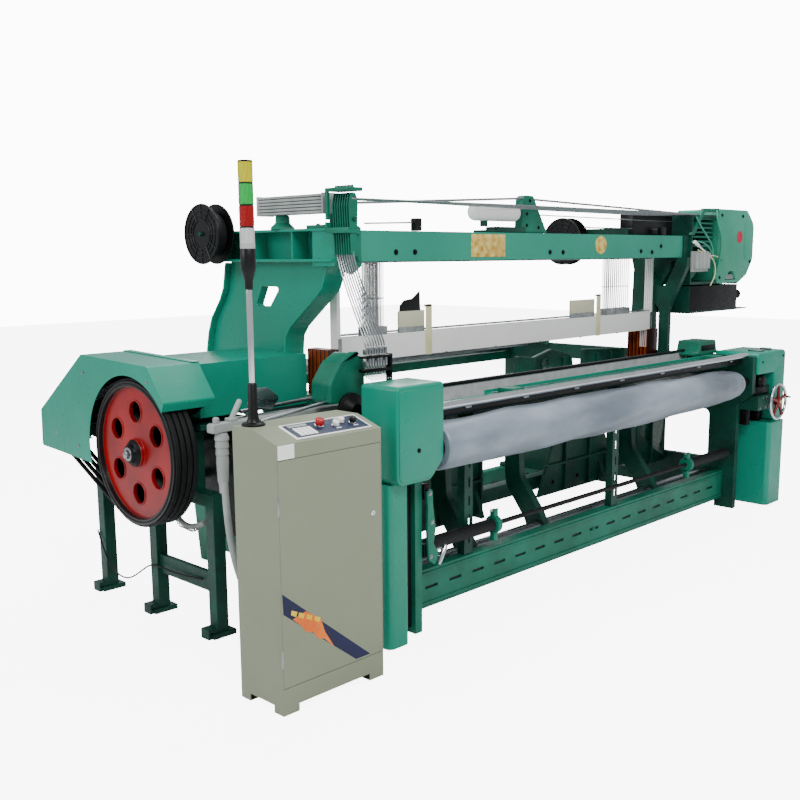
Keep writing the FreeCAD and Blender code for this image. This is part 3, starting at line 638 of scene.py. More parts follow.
# --------------------------------------------------------------- signal tower
def signal_tower():
    x, y = TOWER_X, 0.0
    boot = turned("tower_boot", (x, y, 1.042), UP, [(0, 0.043), (0.006, 0.043), (0.011, 0.038),
        (0.013, 0.025), (0.03, 0.019), (0.15, 0.0165), (0.156, 0.0135)], 48, 0.001)
    collar = turned("tower_collar", (x, y, 1.53), UP, [(0, 0.0135), (0.012, 0.0145), (0.03, 0.0145),
        (0.05, 0.020), (0.075, 0.0265), (0.14, 0.0268), (0.144, 0.025)], 48, 0.001)
    tube_piece = rod("tower_tube", (x, y, 1.19), (x, y, 1.54), 0.011, 32)
    fit(tube_piece, CHROME)
    fit_set("tower_rubber", [boot, collar], BLACK)
    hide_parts("tower_pole")
    colours = [("clear", "e4e7e6", "a9adab"), ("red", "b80006", "6c0003"),
               ("green", "00d050", "008838"), ("yellow", "e2dc00", "a69c00")]
    for number, (tone, light, dark) in enumerate(colours):
        low = 1.6745 + 0.0755 * number
        paint = ribbed_lens(f"lens_{tone}", light, dark, LAMP_CENTRE)
        lens = turned(f"lamp_{tone}", (x, y, low), UP, [
            (0, 0.0245), (0.002, 0.0262), (0.069, 0.0262), (0.071, 0.0245),
        ], 72)
        fit(lens, paint)
        band = turned(f"lamp_band_{tone}", (x, y, low + 0.0705), UP, [(0, 0.0255), (0.0045, 0.0255)], 48,
            0.0005)
        fit(band, BLACK)
    cap = turned("lamp_cap", (x, y, 1.974 - 0.004), UP, [(0, 0.0265), (0.003, 0.0265), (0.0045, 0.02)], 48)
    fit(cap, BLACK)
    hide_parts("tower_lamps")
    socket = turned("lamp_socket", (x, y, 1.6735), UP, [(0, 0.0266), (0.019, 0.0266)], 48, 0.0008)
    fit(socket, GREY_PLASTIC)


# ------------------------------------------------------------------- cabinet
CABINET_FRONT, DESK_LOW = -0.203, 1.0
DESK_SLOPE = math.atan2(0.042, 0.128)


def desk(x, along, lift):
    """A place on the cabinet's sloping desk."""
    return (x, CABINET_FRONT + along * math.cos(DESK_SLOPE) - lift * math.sin(DESK_SLOPE),
            DESK_LOW + along * math.sin(DESK_SLOPE) + lift * math.cos(DESK_SLOPE))


def desk_plate(name, low, high, lift, thick, edge=0.0005):
    """A plate on the desk between two (x, along) corners."""
    piece = slab(name, (low[0], low[1], 0), (high[0], high[1], thick), edge)
    return swing(piece, DESK_SLOPE, at(*desk(0, 0, lift)))


def console():
    base = desk_plate("console_plate", (-0.80, 0.014), (-0.43, 0.126), 0.0002, 0.004, 0.001)
    fit(base, WHITE)
    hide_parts("console_panel")
    fit(desk_plate("console_field", (-0.79, 0.021), (-0.44, 0.119), 0.0042, 0.0006), PANEL_FILM)
    fit(desk_plate("console_light_field", (-0.772, 0.098), (-0.685, 0.113), 0.0048, 0.0004), GREY_PLASTIC)
    keys = [desk_plate(f"key_{number}", (-0.766 + 0.021 * number, 0.030), (-0.748 + 0.021 * number, 0.088),
        0.0048, 0.002, 0.0008) for number in range(4)]
    fit_set("console_keys", keys, WHITE)
    rings = []
    for x, along, radius in ((-0.640, 0.084, 0.0195), (-0.575, 0.066, 0.0155), (-0.535, 0.084, 0.0155),
            (-0.49, 0.066, 0.0155)):
        normal = (0, -math.sin(DESK_SLOPE), math.cos(DESK_SLOPE))
        rings.append(turned("ring", desk(x, along, 0.0046), normal,
            [(0, radius), (0.003, radius), (0.0042, radius - 0.002)], 40))
    fit_set("control_rings", rings, CHROME)
    marks = []
    for x, along in ((-0.575, 0.044), (-0.535, 0.110), (-0.49, 0.044)):
        marks.append(desk_plate("mark", (x - 0.011, along - 0.003), (x + 0.011, along + 0.003), 0.0048,
            0.0003, 0))
    fit_set("console_marks", marks, WHITE)


def door_film(name, points, paint, lift):
    return fit(plate(name, "xz", points, -0.2032 - lift, 0.0004, 0), paint, "door")


def cabinet():
    door_film("door_band", [(-0.897, 0.463), (-0.893, 0.385), (-0.545, 0.112), (-0.470, 0.112)], NAVY, 0)
    door_film("door_flash", [
        (-0.852, 0.357), (-0.79, 0.372), (-0.72, 0.324), (-0.70, 0.268), (-0.655, 0.196), (-0.705, 0.243),
        (-0.73, 0.248), (-0.76, 0.285), (-0.79, 0.292), (-0.815, 0.325),
    ], ORANGE, 0.0004)
    strokes = [plate("stroke", "xz", [(x, z), (x + 0.026, z - 0.012), (x + 0.02, z - 0.03),
        (x - 0.004, z - 0.016)], -0.2041, 0.0004, 0) for x, z in ((-0.856, 0.392), (-0.822, 0.376),
        (-0.785, 0.36), (-0.748, 0.342))]
    fit_set("door_strokes", strokes, YELLOW, "door")
    lock = turned("door_lock", (-0.448, -0.203, 0.675), TO_FRONT, [
        (0, 0.011), (0.003, 0.011), (0.004, 0.009), (0.006, 0.009),
    ], 32)
    fit(lock, CHROME, "door")
    slot = slab("door_lock_slot", (-0.4488, -0.2096, 0.669), (-0.4472, -0.2088, 0.681), 0)
    fit(slot, BLACK, "door")
    for number, z in enumerate((0.78, 0.22)):
        knuckle = rod(f"door_hinge_{number}", (-0.9035, -0.2045, z - 0.035), (-0.9035, -0.2045, z + 0.035),
            0.004, 16)
        fit(knuckle, STEEL)
    sticker = slab("front_sticker", (-0.899, -0.2036, 0.947), (-0.825, -0.203, 0.998), 0)
    fit(sticker, WHITE)
    vents = [slab("vent", (-0.3974, -0.13, 0.80 - 0.022 * row), (-0.3966, -0.03, 0.806 - 0.022 * row), 0)
             for row in range(6)]
    fit_set("side_vents", vents, BLACK)


def cabinet_gear():
    """Rails and relays inside the cabinet."""
    rails = [slab("din_rail", (-0.85, 0.030, z), (-0.46, 0.037, z + 0.035), 0.001) for z in (0.18, 0.83)]
    fit_set("gear_rails", rails, STEEL)
    gear = []
    for z in (0.30, 0.48, 0.64):
        for column in range(6):
            x = -0.815 + 0.06 * column
            gear.append(slab("relay", (x, -0.075, z), (x + 0.045, -0.0345, z + 0.085), 0.003))
    fit_set("control_relays", gear, BLACK)


# -------------------------------------------------------------- drive side
def guard_trim():
    lip = plate("guard_lip", "yz", [
        (0.598, 1.066), (0.697, 1.2085), (0.703, 1.2085), (0.604, 1.064),
    ], -0.604, 0.006, 0.0008)
    edge = plate("guard_edge", "yz", [
        (0.694, 1.2055), (1.237, 1.2215), (1.237, 1.2245), (0.692, 1.2085),
    ], -0.640, 0.040, 0.0005)
    fit_set("guard_flange", [lip, edge], GREEN)
    bolts("guard_bolts", [(-0.853, 1.50, 0.84), (-0.853, 1.30, 0.80), (-0.853, 1.22, 1.14),
        (-0.853, 0.70, 1.14)], TO_LEFT, 0.006, STEEL)
    back = plate("guard_back", "yz", [(0.61, 1.035), (1.18, 0.755), (1.64, 0.778), (1.636, 0.925),
        (1.230, 1.208), (0.70, 1.192), (0.60, 1.068)], -0.618, 0.004, 0)
    fit(back, BLACK)


def wheel_trim():
    """The flywheel's cap, bolts, rims and back plate."""
    hub = turned("wheel_hub_cap", (-0.865, WHEEL_Y, WHEEL_Z), TO_RIGHT,
        [(0, 0.016), (0.004, 0.020), (0.006, 0.034), (0.012, 0.040), (0.022, 0.042), (0.032, 0.058),
        (0.036, 0.060)], 48, 0.001)
    fit(hub, IRON, "main_drive")
    nose = turned("wheel_nose", (-0.876, WHEEL_Y, WHEEL_Z), TO_RIGHT,
        [(0, 0.012), (0.003, 0.017), (0.014, 0.017)], 32, 0.001)
    fit(nose, STEEL, "main_drive")
    bolts("hub_bolts", [(-0.831, WHEEL_Y + 0.05 * math.cos(math.radians(60 * n)),
        WHEEL_Z + 0.05 * math.sin(math.radians(60 * n))) for n in range(6)], TO_LEFT, 0.006, IRON,
        "main_drive")
    back = turned("wheel_back_plate", (-0.762, WHEEL_Y, WHEEL_Z), TO_RIGHT, [(0, 0.283), (0.004, 0.283)], 72)
    fit(back, BLACK, "main_drive")
    lips = []
    for number in range(6):
        angle = math.radians(60 * number + 30)
        place = (-0.8135, WHEEL_Y + 0.178 * math.cos(angle), WHEEL_Z + 0.178 * math.sin(angle))
        lips.append(hoop("lip", place, TO_RIGHT, 0.0485, 0.0035, 40))
    fit_set("wheel_window_lips", lips, WHEEL, "main_drive")
    fit(hoop("wheel_rim_lip", (-0.835, WHEEL_Y, WHEEL_Z), TO_RIGHT, 0.2985, 0.0035, 96), RUBBER,
        "main_drive")


def belt_details():
    grooves = [
        hoop("groove", (-0.835 + 0.004 + 0.028 * number, WHEEL_Y, WHEEL_Z), TO_RIGHT, 0.3105, 0.0025, 96)
        for number in range(5)
    ]
    fit_set("rim_ridges", grooves, RUBBER, "main_drive")


def motor_details():
    fins = [turned("fin", (-0.552 + 0.014 * number, MOTOR_Y, MOTOR_Z), TO_RIGHT,
        [(0, 0.109), (0.004, 0.109)], 40) for number in range(14)]
    fit_set("motor_fins", fins, IRON)
    cowl = turned("motor_cowl", (-0.345, MOTOR_Y, MOTOR_Z), TO_RIGHT, [
        (0, 0.108), (0.05, 0.108), (0.062, 0.098), (0.066, 0.07),
    ], 40, 0.001)
    fit(cowl, SHADED_GREEN)
    box = slab("motor_terminal_box", (-0.52, 1.455, 0.962), (-0.40, 1.585, 1.02), 0.006)
    fit(box, SHADED_GREEN)
    bolts("motor_feet_bolts", [(-0.55, 1.45, 0.66), (-0.37, 1.45, 0.66), (-0.55, 1.59, 0.66),
        (-0.37, 1.59, 0.66)], UP, 0.008, STEEL)


def stand_details():
    places = [(-0.655, y + dy, 0.024) for y in (0.603, 1.068, 1.537) for dy in (0.002, 0.058)]
    bolts("stand_foot_bolts", places, UP, 0.007, IRON)
    cable = tube("stand_cable", [(-0.625, 1.60, 0.30), (-0.64, 1.50, 0.16), (-0.66, 1.36, 0.12),
        (-0.66, 1.24, 0.13), (-0.64, 1.13, 0.22), (-0.625, 1.07, 0.24), (-0.62, 0.90, 0.22),
        (-0.61, 0.72, 0.24)], 0.004)
    fit(cable, RUBBER)
    route = [(-0.57, 1.01, 0.80), (-0.575, 1.03, 0.66), (-0.585, 0.99, 0.52), (-0.59, 0.90, 0.455),
        (-0.595, 0.80, 0.45), (-0.60, 0.70, 0.50)]
    hose = tube("ribbed_hose", route, 0.0125)
    ribs = []
    for step in range(34):
        place, aim = along_route(route, step / 33)
        ribs.append(hoop("rib", place, aim, 0.0125, 0.0026, 20))
    fit_set("ribbed_hose", [hose] + ribs, GREY_PLASTIC)
    shelf = slab("stand_cover", (-0.60, 0.70, 0.905), (-0.30, 1.12, 0.93), 0.003)
    fit(shelf, SHADED_GREEN)


def along_route(route, fraction):
    """A place and heading on the smooth line of a tube."""
    count = len(route) - 1
    spot = min(fraction * count, count - 0.001)
    index = int(spot)
    blend = spot - index
    a, b = Vector(route[index]), Vector(route[index + 1])
    return tuple(a.lerp(b, blend)), (b - a).normalized()


def conduit_details():
    route = [(-0.690, 0.420, 0.930), (-0.688, 0.416, 0.760), (-0.694, 0.400, 0.600), (-0.700, 0.360, 0.450),
             (-0.704, 0.290, 0.320), (-0.700, 0.200, 0.220), (-0.690, 0.110, 0.160), (-0.690, 0.050, 0.160)]
    sheath = fit(tube("conduit_sheath", route, 0.015), GREY_PLASTIC)
    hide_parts("conduit")
    gland = turned("conduit_gland", (-0.690, 0.420, 0.945), DOWN, [(0, 0.022), (0.02, 0.030), (0.03, 0.030),
        (0.034, 0.026), (0.06, 0.0285), (0.064, 0.025), (0.09, 0.0275), (0.094, 0.024), (0.12, 0.026),
        (0.2, 0.0225), (0.215, 0.018), (0.25, 0.0165)], 40, 0.0008)
    fit(gland, GREY_PLASTIC)
    nut = turned("conduit_nut", (-0.690, 0.052, 0.160), TO_BACK,
        [(0, 0.028), (0.016, 0.028), (0.022, 0.022)], 6, 0.001)
    fit(nut, STEEL)


def cable_arm():
    """The arm from the cabinet that carries the cable."""
    arm = plate("cable_arm", "xz", [(-0.745, 0.946, 0.008), (-0.30, 0.962), (-0.01, 0.962), (-0.01, 0.99),
        (-0.36, 0.99), (-0.745, 0.985, 0.012)], 0.398, 0.046, 0.004)
    prong = slab("cable_prong", (-0.66, 0.40, 0.985), (-0.62, 0.44, 1.0), 0.004)
    strut = rod("cable_strut", (-0.64, 0.42, 0.992), (-0.56, 0.47, 1.055), 0.012)
    knob = turned("arm_knob", (-0.715, 0.42, 0.984), UP, [(0, 0.014), (0.02, 0.014), (0.026, 0.009)], 24,
        0.001)
    fit_set("cable_arm", [arm, prong, strut, knob], GREY_PLASTIC)
    bolts("arm_bolts", [(-0.60, 0.397, 0.966), (-0.50, 0.397, 0.970), (-0.06, 0.397, 0.976)], TO_FRONT,
        0.006, STEEL)


def linkage_clutter():
    """The brake linkage between the cabinet and the left side frame."""
    plate_piece = plate("brake_plate", "xz", [(-0.53, 1.03, 0.01), (-0.40, 1.0, 0.01), (-0.35, 1.05, 0.02),
        (-0.42, 1.10, 0.03), (-0.50, 1.10, 0.02)], 0.46, 0.008)
    fit(plate_piece, STEEL)
    rods = [
        rod("link", (-0.56, 0.33, 0.985), (-0.03, 0.28, 1.06), 0.0075),
        rod("link", (-0.52, 0.52, 1.00), (-0.03, 0.52, 1.02), 0.009),
        rod("link", (-0.50, 0.60, 0.955), (-0.01, 0.60, 0.955), 0.012),
        rod("link", (-0.44, 0.30, 0.90), (-0.44, 0.60, 0.98), 0.008),
    ]
    fit_set("brake_links", rods, STEEL)
    blocks = [
        slab("block", (-0.46, 0.27, 0.80), (-0.42, 0.34, 0.92), 0.006),
        slab("block", (-0.30, 0.30, 0.84), (-0.02, 0.56, 0.93), 0.01),
        slab("block", (-0.24, 0.62, 0.72), (-0.005, 0.70, 0.95), 0.008),
        slab("block", (-0.36, 0.34, 0.36), (-0.31, 1.04, 0.93), 0.008),
        turned("drum", (-0.30, 0.45, 0.76), TO_RIGHT, [(0, 0.09), (0.05, 0.09), (0.055, 0.07), (0.2, 0.06)],
            40, 0.003),
    ]
    fit_set("brake_housing", blocks, IRON)


# ---------------------------------------------------------------- left gantry
def gantry_flange(name, low, high, paint):
    """The cast flange along a gantry's curved front and back edges."""
    front = [(0.512, 1.615), (0.56, 1.498), (0.60, 1.462), (0.70, 1.385), (0.79, 1.315), (0.824, 1.27),
             (0.832, 1.20), (0.832, 1.01)]
    back = [(1.454, 1.01), (1.448, 1.17), (1.428, 1.26), (1.394, 1.34), (1.32, 1.43), (1.287, 1.49),
        (1.262, 1.615)]
    for side, line in (("front", front), ("back", back)):
        points = line + [(y + (-0.014 if side == "front" else 0.014), z) for y, z in reversed(line)]
        fit(plate(f"{name}_{side}", "yz", points, low, high - low, 0.003), paint)


def left_gantry():
    gantry_flange("left_flange", -0.030, 0.088, GREEN)
    casting = [
        plate("cheek", "xz", [(-0.062, 1.60, 0.01), (0.03, 1.56, 0.02), (0.088, 1.60, 0.01),
            (0.088, 1.77, 0.01), (0.05, 1.785, 0.01), (-0.062, 1.775, 0.01)], 0.405, 0.018, 0.004),
        slab("boss", (-0.05, 0.39, 1.735), (0.03, 0.41, 1.765), 0.004),
        slab("boss", (-0.02, 0.385, 1.64), (0.05, 0.41, 1.70), 0.008),
        turned("boss", (-0.03, 0.41, 1.60), TO_FRONT, [(0, 0.03), (0.03, 0.026)], 24, 0.003),
        slab("pad", (-0.068, 0.43, 1.7665), (0.044, 0.60, 1.782), 0.004),
    ]
    fit_set("gantry_casting", casting, CAST_GREEN)
    bolts("gantry_bolts", [(-0.045, 0.404, 1.74), (0.065, 0.404, 1.745), (0.065, 0.404, 1.63),
        (-0.03, 0.38, 1.60), (0.015, 0.384, 1.67)], TO_FRONT, 0.009, CAST_GREEN)
    bolts("gantry_top_bolts", [(-0.03, 0.47, 1.782), (0.02, 0.47, 1.782), (-0.03, 0.56, 1.782)], UP, 0.009,
        IRON)
    bolts("gantry_foot_bolts", [(-0.001, 0.80, 1.03), (-0.001, 1.0, 1.03), (-0.001, 1.2, 1.03),
        (-0.001, 1.38, 1.03)], TO_LEFT, 0.012, CAST_GREEN)


def spring_box():
    """The stack of return springs behind the selector levers."""
    strips = [slab("strip", (-0.075, 0.475, 1.832 + 0.0145 * number),
        (0.012, 0.94, 1.843 + 0.0145 * number), 0.002) for number in range(6)]
    fit_set("spring_strips", strips, GREY_PLASTIC)
    ends = [slab("end", (-0.079, y, 1.829), (0.016, y + 0.012, 1.919), 0.002) for y in (0.47, 0.93)]
    fit_set("spring_box_ends", ends, GREY_PLASTIC)
    post = turned("spring_post", (-0.03, 0.81, 1.766), UP, [
        (0, 0.075), (0.012, 0.07), (0.03, 0.045), (0.064, 0.042),
    ], 4, 0.003)
    fit(post, CAST_GREEN)


def selectors():
    """Sheathed wires from the levers down to the weft fingers, and pull wires to the dobby."""
    for number in range(SELECTORS):
        y = SELECTOR_Y + SELECTOR_PITCH * number
        foot_x = 0.027 - 0.016 * number
        body = f"selector_{number + 1}"
        wire = tube(f"finger_wire_{number + 1}", [
            (-0.058, y, 1.665), (-0.056, y, 1.625), (foot_x * 0.45 - 0.031, y * 0.55 + 0.093, 1.45),
            (foot_x, 0.207, 1.285), (foot_x, 0.205, 1.262),
        ], 0.0034)
        fit_bent(wire, STEEL)
        pull = tube(f"pull_wire_{number + 1}", [(-0.050, y, 1.888), (0.10, y, 1.888),
            (0.6, y + 0.02, 1.892), (1.2, y + 0.04, 1.897 - 0.002 * number),
            (2.0, y + 0.05, 1.897 - 0.002 * number), (2.7, y + 0.06, 1.90 - 0.003 * number),
            (3.1, y + 0.09, 1.895)], 0.0026)
        fit_bent(pull, STEEL)
        clamp = rod(f"wire_clamp_{number + 1}", (-0.066, y, 1.888), (-0.034, y, 1.888), 0.006)
        fit(clamp, STEEL, body)
    comb = [slab("comb", (-0.10, 0.288, 1.742), (-0.088, 0.435, 1.766), 0.002)]
    comb += [slab("tooth", (-0.10, 0.2935 + SELECTOR_PITCH * number, 1.742),
        (-0.02, 0.2965 + SELECTOR_PITCH * number, 1.758), 0.0008) for number in range(9)]
    comb.append(slab("mount", (-0.10, 0.425, 1.742), (-0.02, 0.437, 1.79), 0.002))
    fit_set("lever_comb", comb, CAST_GREEN)
    top = [slab("cap", (-0.10, 0.286, 1.918), (-0.012, 0.425, 1.934), 0.003)]
    top += [turned("nut", (-0.058, SELECTOR_Y + SELECTOR_PITCH * number, 1.934), UP,
        [(0, 0.006), (0.01, 0.005)], 6) for number in range(8)]
    top.append(slab("link", (-0.10, 0.418, 1.80), (-0.085, 0.434, 1.934), 0.002))
    fit_set("lever_cap", top, CAST_GREEN)


def weft_fingers():
    pins, blocks = [], []
    for number in range(SELECTORS):
        x = -0.085 + 0.016 * number
        pins.append(rod("pin", (x, 0.205, 1.13), (x, 0.205, 1.262), 0.0028, 10, 0.0006))
        pins.append(rod("hook", (x, 0.205, 1.135), (x - 0.004, 0.16, 1.12), 0.0022, 10, 0.0005))
        blocks.append(slab("block", (x - 0.006, 0.192, 1.175),
            (x + 0.006, 0.220, 1.20 + 0.012 * (number % 3)), 0.0015))
        blocks.append(slab("block", (x - 0.006, 0.194, 1.228),
            (x + 0.006, 0.218, 1.25 + 0.006 * (number % 2)), 0.0015))
    fit_set("finger_pins", pins, CHROME)
    fit_set("finger_blocks", blocks, STEEL)
    rail = [slab("rail", (-0.11, 0.188, 1.152), (0.062, 0.224, 1.166), 0.002),
            slab("rail", (-0.11, 0.188, 1.212), (0.062, 0.222, 1.222), 0.002),
            slab("post", (0.05, 0.19, 1.0), (0.062, 0.222, 1.225), 0.002)]
    fit_set("finger_rail", rail, IRON)


# ------------------------------------------------------------------- harness
def heddles():
    """Wire heddles hung between the slats of each heald frame."""
    for number in range(HEALDS):
        y = HEALD_Y + HEALD_PITCH * number
        body = f"heald_{number + 1}"
        wires = []
        for low_x, high_x in ((0.293, 0.435), (2.394, 2.65)):
            count = int((high_x - low_x) / 0.0075)
            first = rod("wire", (low_x, y, 1.268), (low_x, y, 1.62), 0.0011, 5, 0)
            eye = hoop("eye", (low_x, y, 1.44), TO_BACK, 0.0028, 0.0009, 8)
            shifts = [(0.0075 * step, 0.0015 * (step % 3 - 1), 0.002 * (step % 2))
                for step in range(1, count)]
            wires.append(copies("wires", together("wire", [first, eye]), shifts))
        fit_set(f"heddles_{number + 1}", wires, HEDDLE, body)
        bars = [rod("bar", (0.132, y, z), (2.908, y, z), 0.0032, 8, 0) for z in (1.275, 1.615)]
        fit_set(f"heddle_bars_{number + 1}", bars, STEEL, body)
        shoes = []
        for low_x, high_x in ((0.288, 0.440), (2.389, 2.655)):
            shoes.append(slab("shoe", (low_x, y - 0.004, 1.2652), (high_x, y + 0.004, 1.305), 0.001))
        fit_set(f"heddle_shoes_{number + 1}", shoes, HEDDLE, body)


def heald_fittings():
    packs = []
    for low_x, high_x in ((0.520, 0.705), (1.99, 2.245)):
        packs.append(slab("pack", (low_x, 0.6, 1.292), (high_x, 0.612, 1.372), 0.002))
    fit_set("card_packs", packs, PACKED, "heald_1")
    feet = [slab("foot", (low_x, 0.5995, 1.2655), (high_x, 0.611, 1.292), 0.001)
            for low_x, high_x in ((0.520, 0.705), (1.99, 2.245))]
    fit_set("pack_feet", feet, HEDDLE, "heald_1")
    flap = plate("card_flap", "xz", [
        (0.527, 1.37), (0.532, 1.40), (0.56, 1.425), (0.62, 1.432), (0.672, 1.468), (0.676, 1.37),
    ], 0.6005, 0.008, 0.001)
    fit(flap, BLACK, "heald_1")
    straps = []
    for x in (0.712, 2.262):
        straps.append(slab("strap", (x, 0.5945, 1.143), (x + 0.044, 0.5995, 1.400), 0.0015))
        straps.append(slab("strap", (x, 0.5945, 1.387), (x + 0.044, 0.610, 1.400), 0.0015))
    fit_set("slat_straps", straps, CREAM, "heald_1")
    caps = []
    for x in (0.112, 2.905):
        caps.append(slab("cap", (x, 0.5975, 1.148), (x + 0.022, 0.5998, 1.262), 0.0006))
    fit_set("slat_caps", caps, STEEL, "heald_1")
    clips = [slab("clip", (x, 0.5975, 1.142), (x + 0.018, 0.6, 1.150), 0.0005)
        for x in (0.45, 0.86, 1.27, 1.68, 2.09, 2.5)]
    fit_set("slat_clips", clips, STEEL, "heald_1")
    lower = [slab("block", (0.046, 0.592, 0.86), (0.104, 0.824, 0.999), 0.003),
             slab("block", (2.868, 0.592, 0.80), (2.994, 0.824, 0.956), 0.003)]
    fit_set("guide_feet", lower, IRON)


def sley_trim():
    band = slab("reed_band", (0.119, 0.3005, 1.021), (2.881, 0.3175, 1.0365), 0.001)
    fit(band, BLACK, "sley")
    low = slab("reed_foot", (0.119, 0.2985, 0.9305), (2.881, 0.3195, 0.949), 0.002)
    fit(low, IRON, "sley")
    race = slab("sley_race", (0.11, 0.256, 0.9302), (2.89, 0.298, 0.935), 0.001)
    fit(race, STEEL, "sley")
    guides = [slab("guide", (0.15 + 0.055 * number, 0.259, 0.935), (0.156 + 0.055 * number, 0.292, 0.957),
        0.001) for number in range(50)]
    fit_set("rapier_guides", guides, STEEL, "sley")


# -------------------------------------------------------------- beam fittings
OVAL_STRETCH = 1.12


def beam_fittings():
    bolts("beam_bolts", [(0.331, 0.43, 1.661), (0.459, 0.43, 1.661), (1.537, 0.43, 1.658),
        (1.66, 0.43, 1.657), (2.484, 0.43, 1.661), (2.615, 0.43, 1.655), (2.722, 0.43, 1.692)], TO_FRONT,
        0.010, IRON)
    frame_plate = slab("name_plate_blank", (0.868, 0.4275, 1.635), (1.141, 0.4305, 1.7495), 0.0012)
    fit(frame_plate, GOLD)
    fields = []
    for row in range(3):
        for column in range(3 - row % 2):
            x = 0.89 + 0.085 * column + 0.03 * (row % 2)
            z = 1.65 + 0.034 * row
            fields.append(slab("field", (x, 0.4262, z), (x + 0.05, 0.4275, z + 0.016), 0.0006))
    fit_set("name_plate_fields", fields, GOLD)
    oval = turned("oval_plate", (2.037, 0.43, 1.698), TO_FRONT,
        [(0, 0.052), (0.0025, 0.052), (0.004, 0.048)], 56)
    middle = at(2.037, 0.43, 1.698).x
    for vertex in oval.data.vertices:
        vertex.co.x = middle + (vertex.co.x - middle) * OVAL_STRETCH
    fit(oval, GOLD)


def weft_canister():
    """The white canister on the beam, with its tray."""
    canister = turned("weft_canister", (0.926, 0.47, 1.862), TO_RIGHT,
        [(0, 0.022), (0.002, 0.036), (0.008, 0.042), (0.02, 0.0445), (0.33, 0.0445), (0.345, 0.04),
        (0.357, 0.028)], 48, 0.001)
    fit(canister, WHITE)
    tray = [slab("tray", (1.09, 0.44, 1.7605), (1.33, 0.52, 1.79), 0.003),
            slab("stay", (1.0, 0.455, 1.79), (1.03, 0.485, 1.822), 0.003),
            slab("tray", (0.99, 0.44, 1.7605), (1.10, 0.52, 1.772), 0.003)]
    fit_set("canister_tray", tray, SHADED_GREEN)
    bracket = plate("canister_bracket", "xz", [(1.30, 1.7605), (1.53, 1.7605), (1.415, 1.935, 0.02),
        (1.40, 1.957, 0.012), (1.325, 1.957, 0.012), (1.305, 1.93, 0.01)], 0.445, 0.05, 0.004)
    fit(bracket, CAST_GREEN)
    bolts("bracket_bolts", [(1.345, 0.445, 1.80), (1.345, 0.445, 1.86), (1.37, 0.445, 1.93),
        (1.45, 0.445, 1.79)], TO_FRONT, 0.007, IRON)
    bars = [
        rod("bar", (0.02, 0.44, 1.875), (1.31, 0.455, 1.94), 0.006),
        rod("bar", (1.31, 0.455, 1.94), (3.2, 0.46, 1.90), 0.006),
        rod("bar", (0.15, 0.45, 1.79), (0.50, 0.45, 1.80), 0.004),
        rod("bar", (1.52, 0.50, 1.86), (3.0, 0.50, 1.85), 0.0035),
        rod("bar", (2.0, 0.52, 1.80), (2.85, 0.50, 1.80), 0.0035),
    ]
    fit_set("pull_bars", bars, STEEL)
    clamps = [
        slab("clamp", (0.47, 0.435, 1.7605), (0.515, 0.47, 1.82), 0.004),
        slab("clamp", (2.74, 0.435, 1.7605), (2.79, 0.47, 1.81), 0.004),
    ]
    fit_set("bar_clamps", clamps, BLACK)


def spool_faces(name, x, y, z, body):
    """Ridges and ribs on a reel's cheeks, and its winding."""
    ridges = []
    for side in (x - 0.0015, x + 0.0895):
        for radius in (0.140, 0.112, 0.088, 0.07):
            ridges.append(hoop("ridge", (side, y, z), TO_RIGHT, radius, 0.003, 56))
    fit_set(f"{name}_ridges", ridges, BLACK, body)
    ribs = []
    for number in range(12):
        angle = math.radians(30 * number)
        inner, outer = 0.068, 0.142
        start = (x - 0.0015, y + inner * math.cos(angle), z + inner * math.sin(angle))
        end = (x - 0.0015, y + outer * math.cos(angle), z + outer * math.sin(angle))
        ribs.append(rod("rib", start, end, 0.0032, 8, 0))
    fit_set(f"{name}_ribs", ribs, BLACK, body)
    winding = turned(f"{name}_winding", (x + 0.008, y, z), TO_RIGHT,
        [(0, 0.061), (0.003, 0.104), (0.069, 0.104), (0.072, 0.061)], 56, 0.003)
    fit(winding, RUBBER, body)


# ---------------------------------------------------------------- front covers
def front_covers():
    left = plate("left_cover_shell", "xz", [(-0.233, 0.72, 0.04), (-0.03, 0.72, 0.05), (0.051, 0.80, 0.06),
        (0.051, 1.13, 0.02), (-0.233, 1.13, 0.02)], -0.127, 0.214, 0.014)
    cut(left, slab("tool", (0.0, -0.094, 0.74), (0.2, 0.3, 1.0), 0))
    face = plate("left_cover_face", "xz", [(-0.222, 0.735, 0.03), (-0.036, 0.735, 0.04),
        (0.040, 0.808, 0.05), (0.040, 1.112, 0.015), (-0.222, 1.112, 0.015)], -0.1305, 0.006, 0.003)
    left = together("left_cover_shell", [left, face])
    fit(left, GREEN)
    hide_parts("left_front_cover")
    right = plate("right_cover_shell", "xz", [(3.285, 0.562, 0.02), (3.44, 0.562, 0.02), (3.44, 1.02, 0.03),
        (3.04, 1.02, 0.03), (3.04, 0.88, 0.02), (3.285, 0.88, 0.02)], -0.11, 0.30, 0.012)
    fit(right, GREEN)
    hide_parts("right_front_cover")
    bolts("cover_screws", [(-0.11, -0.1305, 0.858)], TO_FRONT, 0.0075, IRON)
    bolts("right_cover_screws", [(3.10, -0.11, 0.96), (3.40, -0.11, 0.60), (3.40, -0.11, 0.98)], TO_FRONT,
        0.006, IRON)
    # Painted shade: a black slab in the gap between the left column and the leg, where shade falls.
    shade = slab("column_gap_shade", (-0.107, 0.02, 0.03), (-0.004, 0.12, 0.705), 0.003)
    fit(shade, BLACK)
    lips = [
        slab("lip", (3.15, -0.07, 1.021), (3.21, 0.02, 1.03), 0.003),
        slab("lip", (3.28, -0.07, 1.021), (3.31, 0.0, 1.035), 0.003),
    ]
    fit_set("right_cover_latches", lips, STEEL)


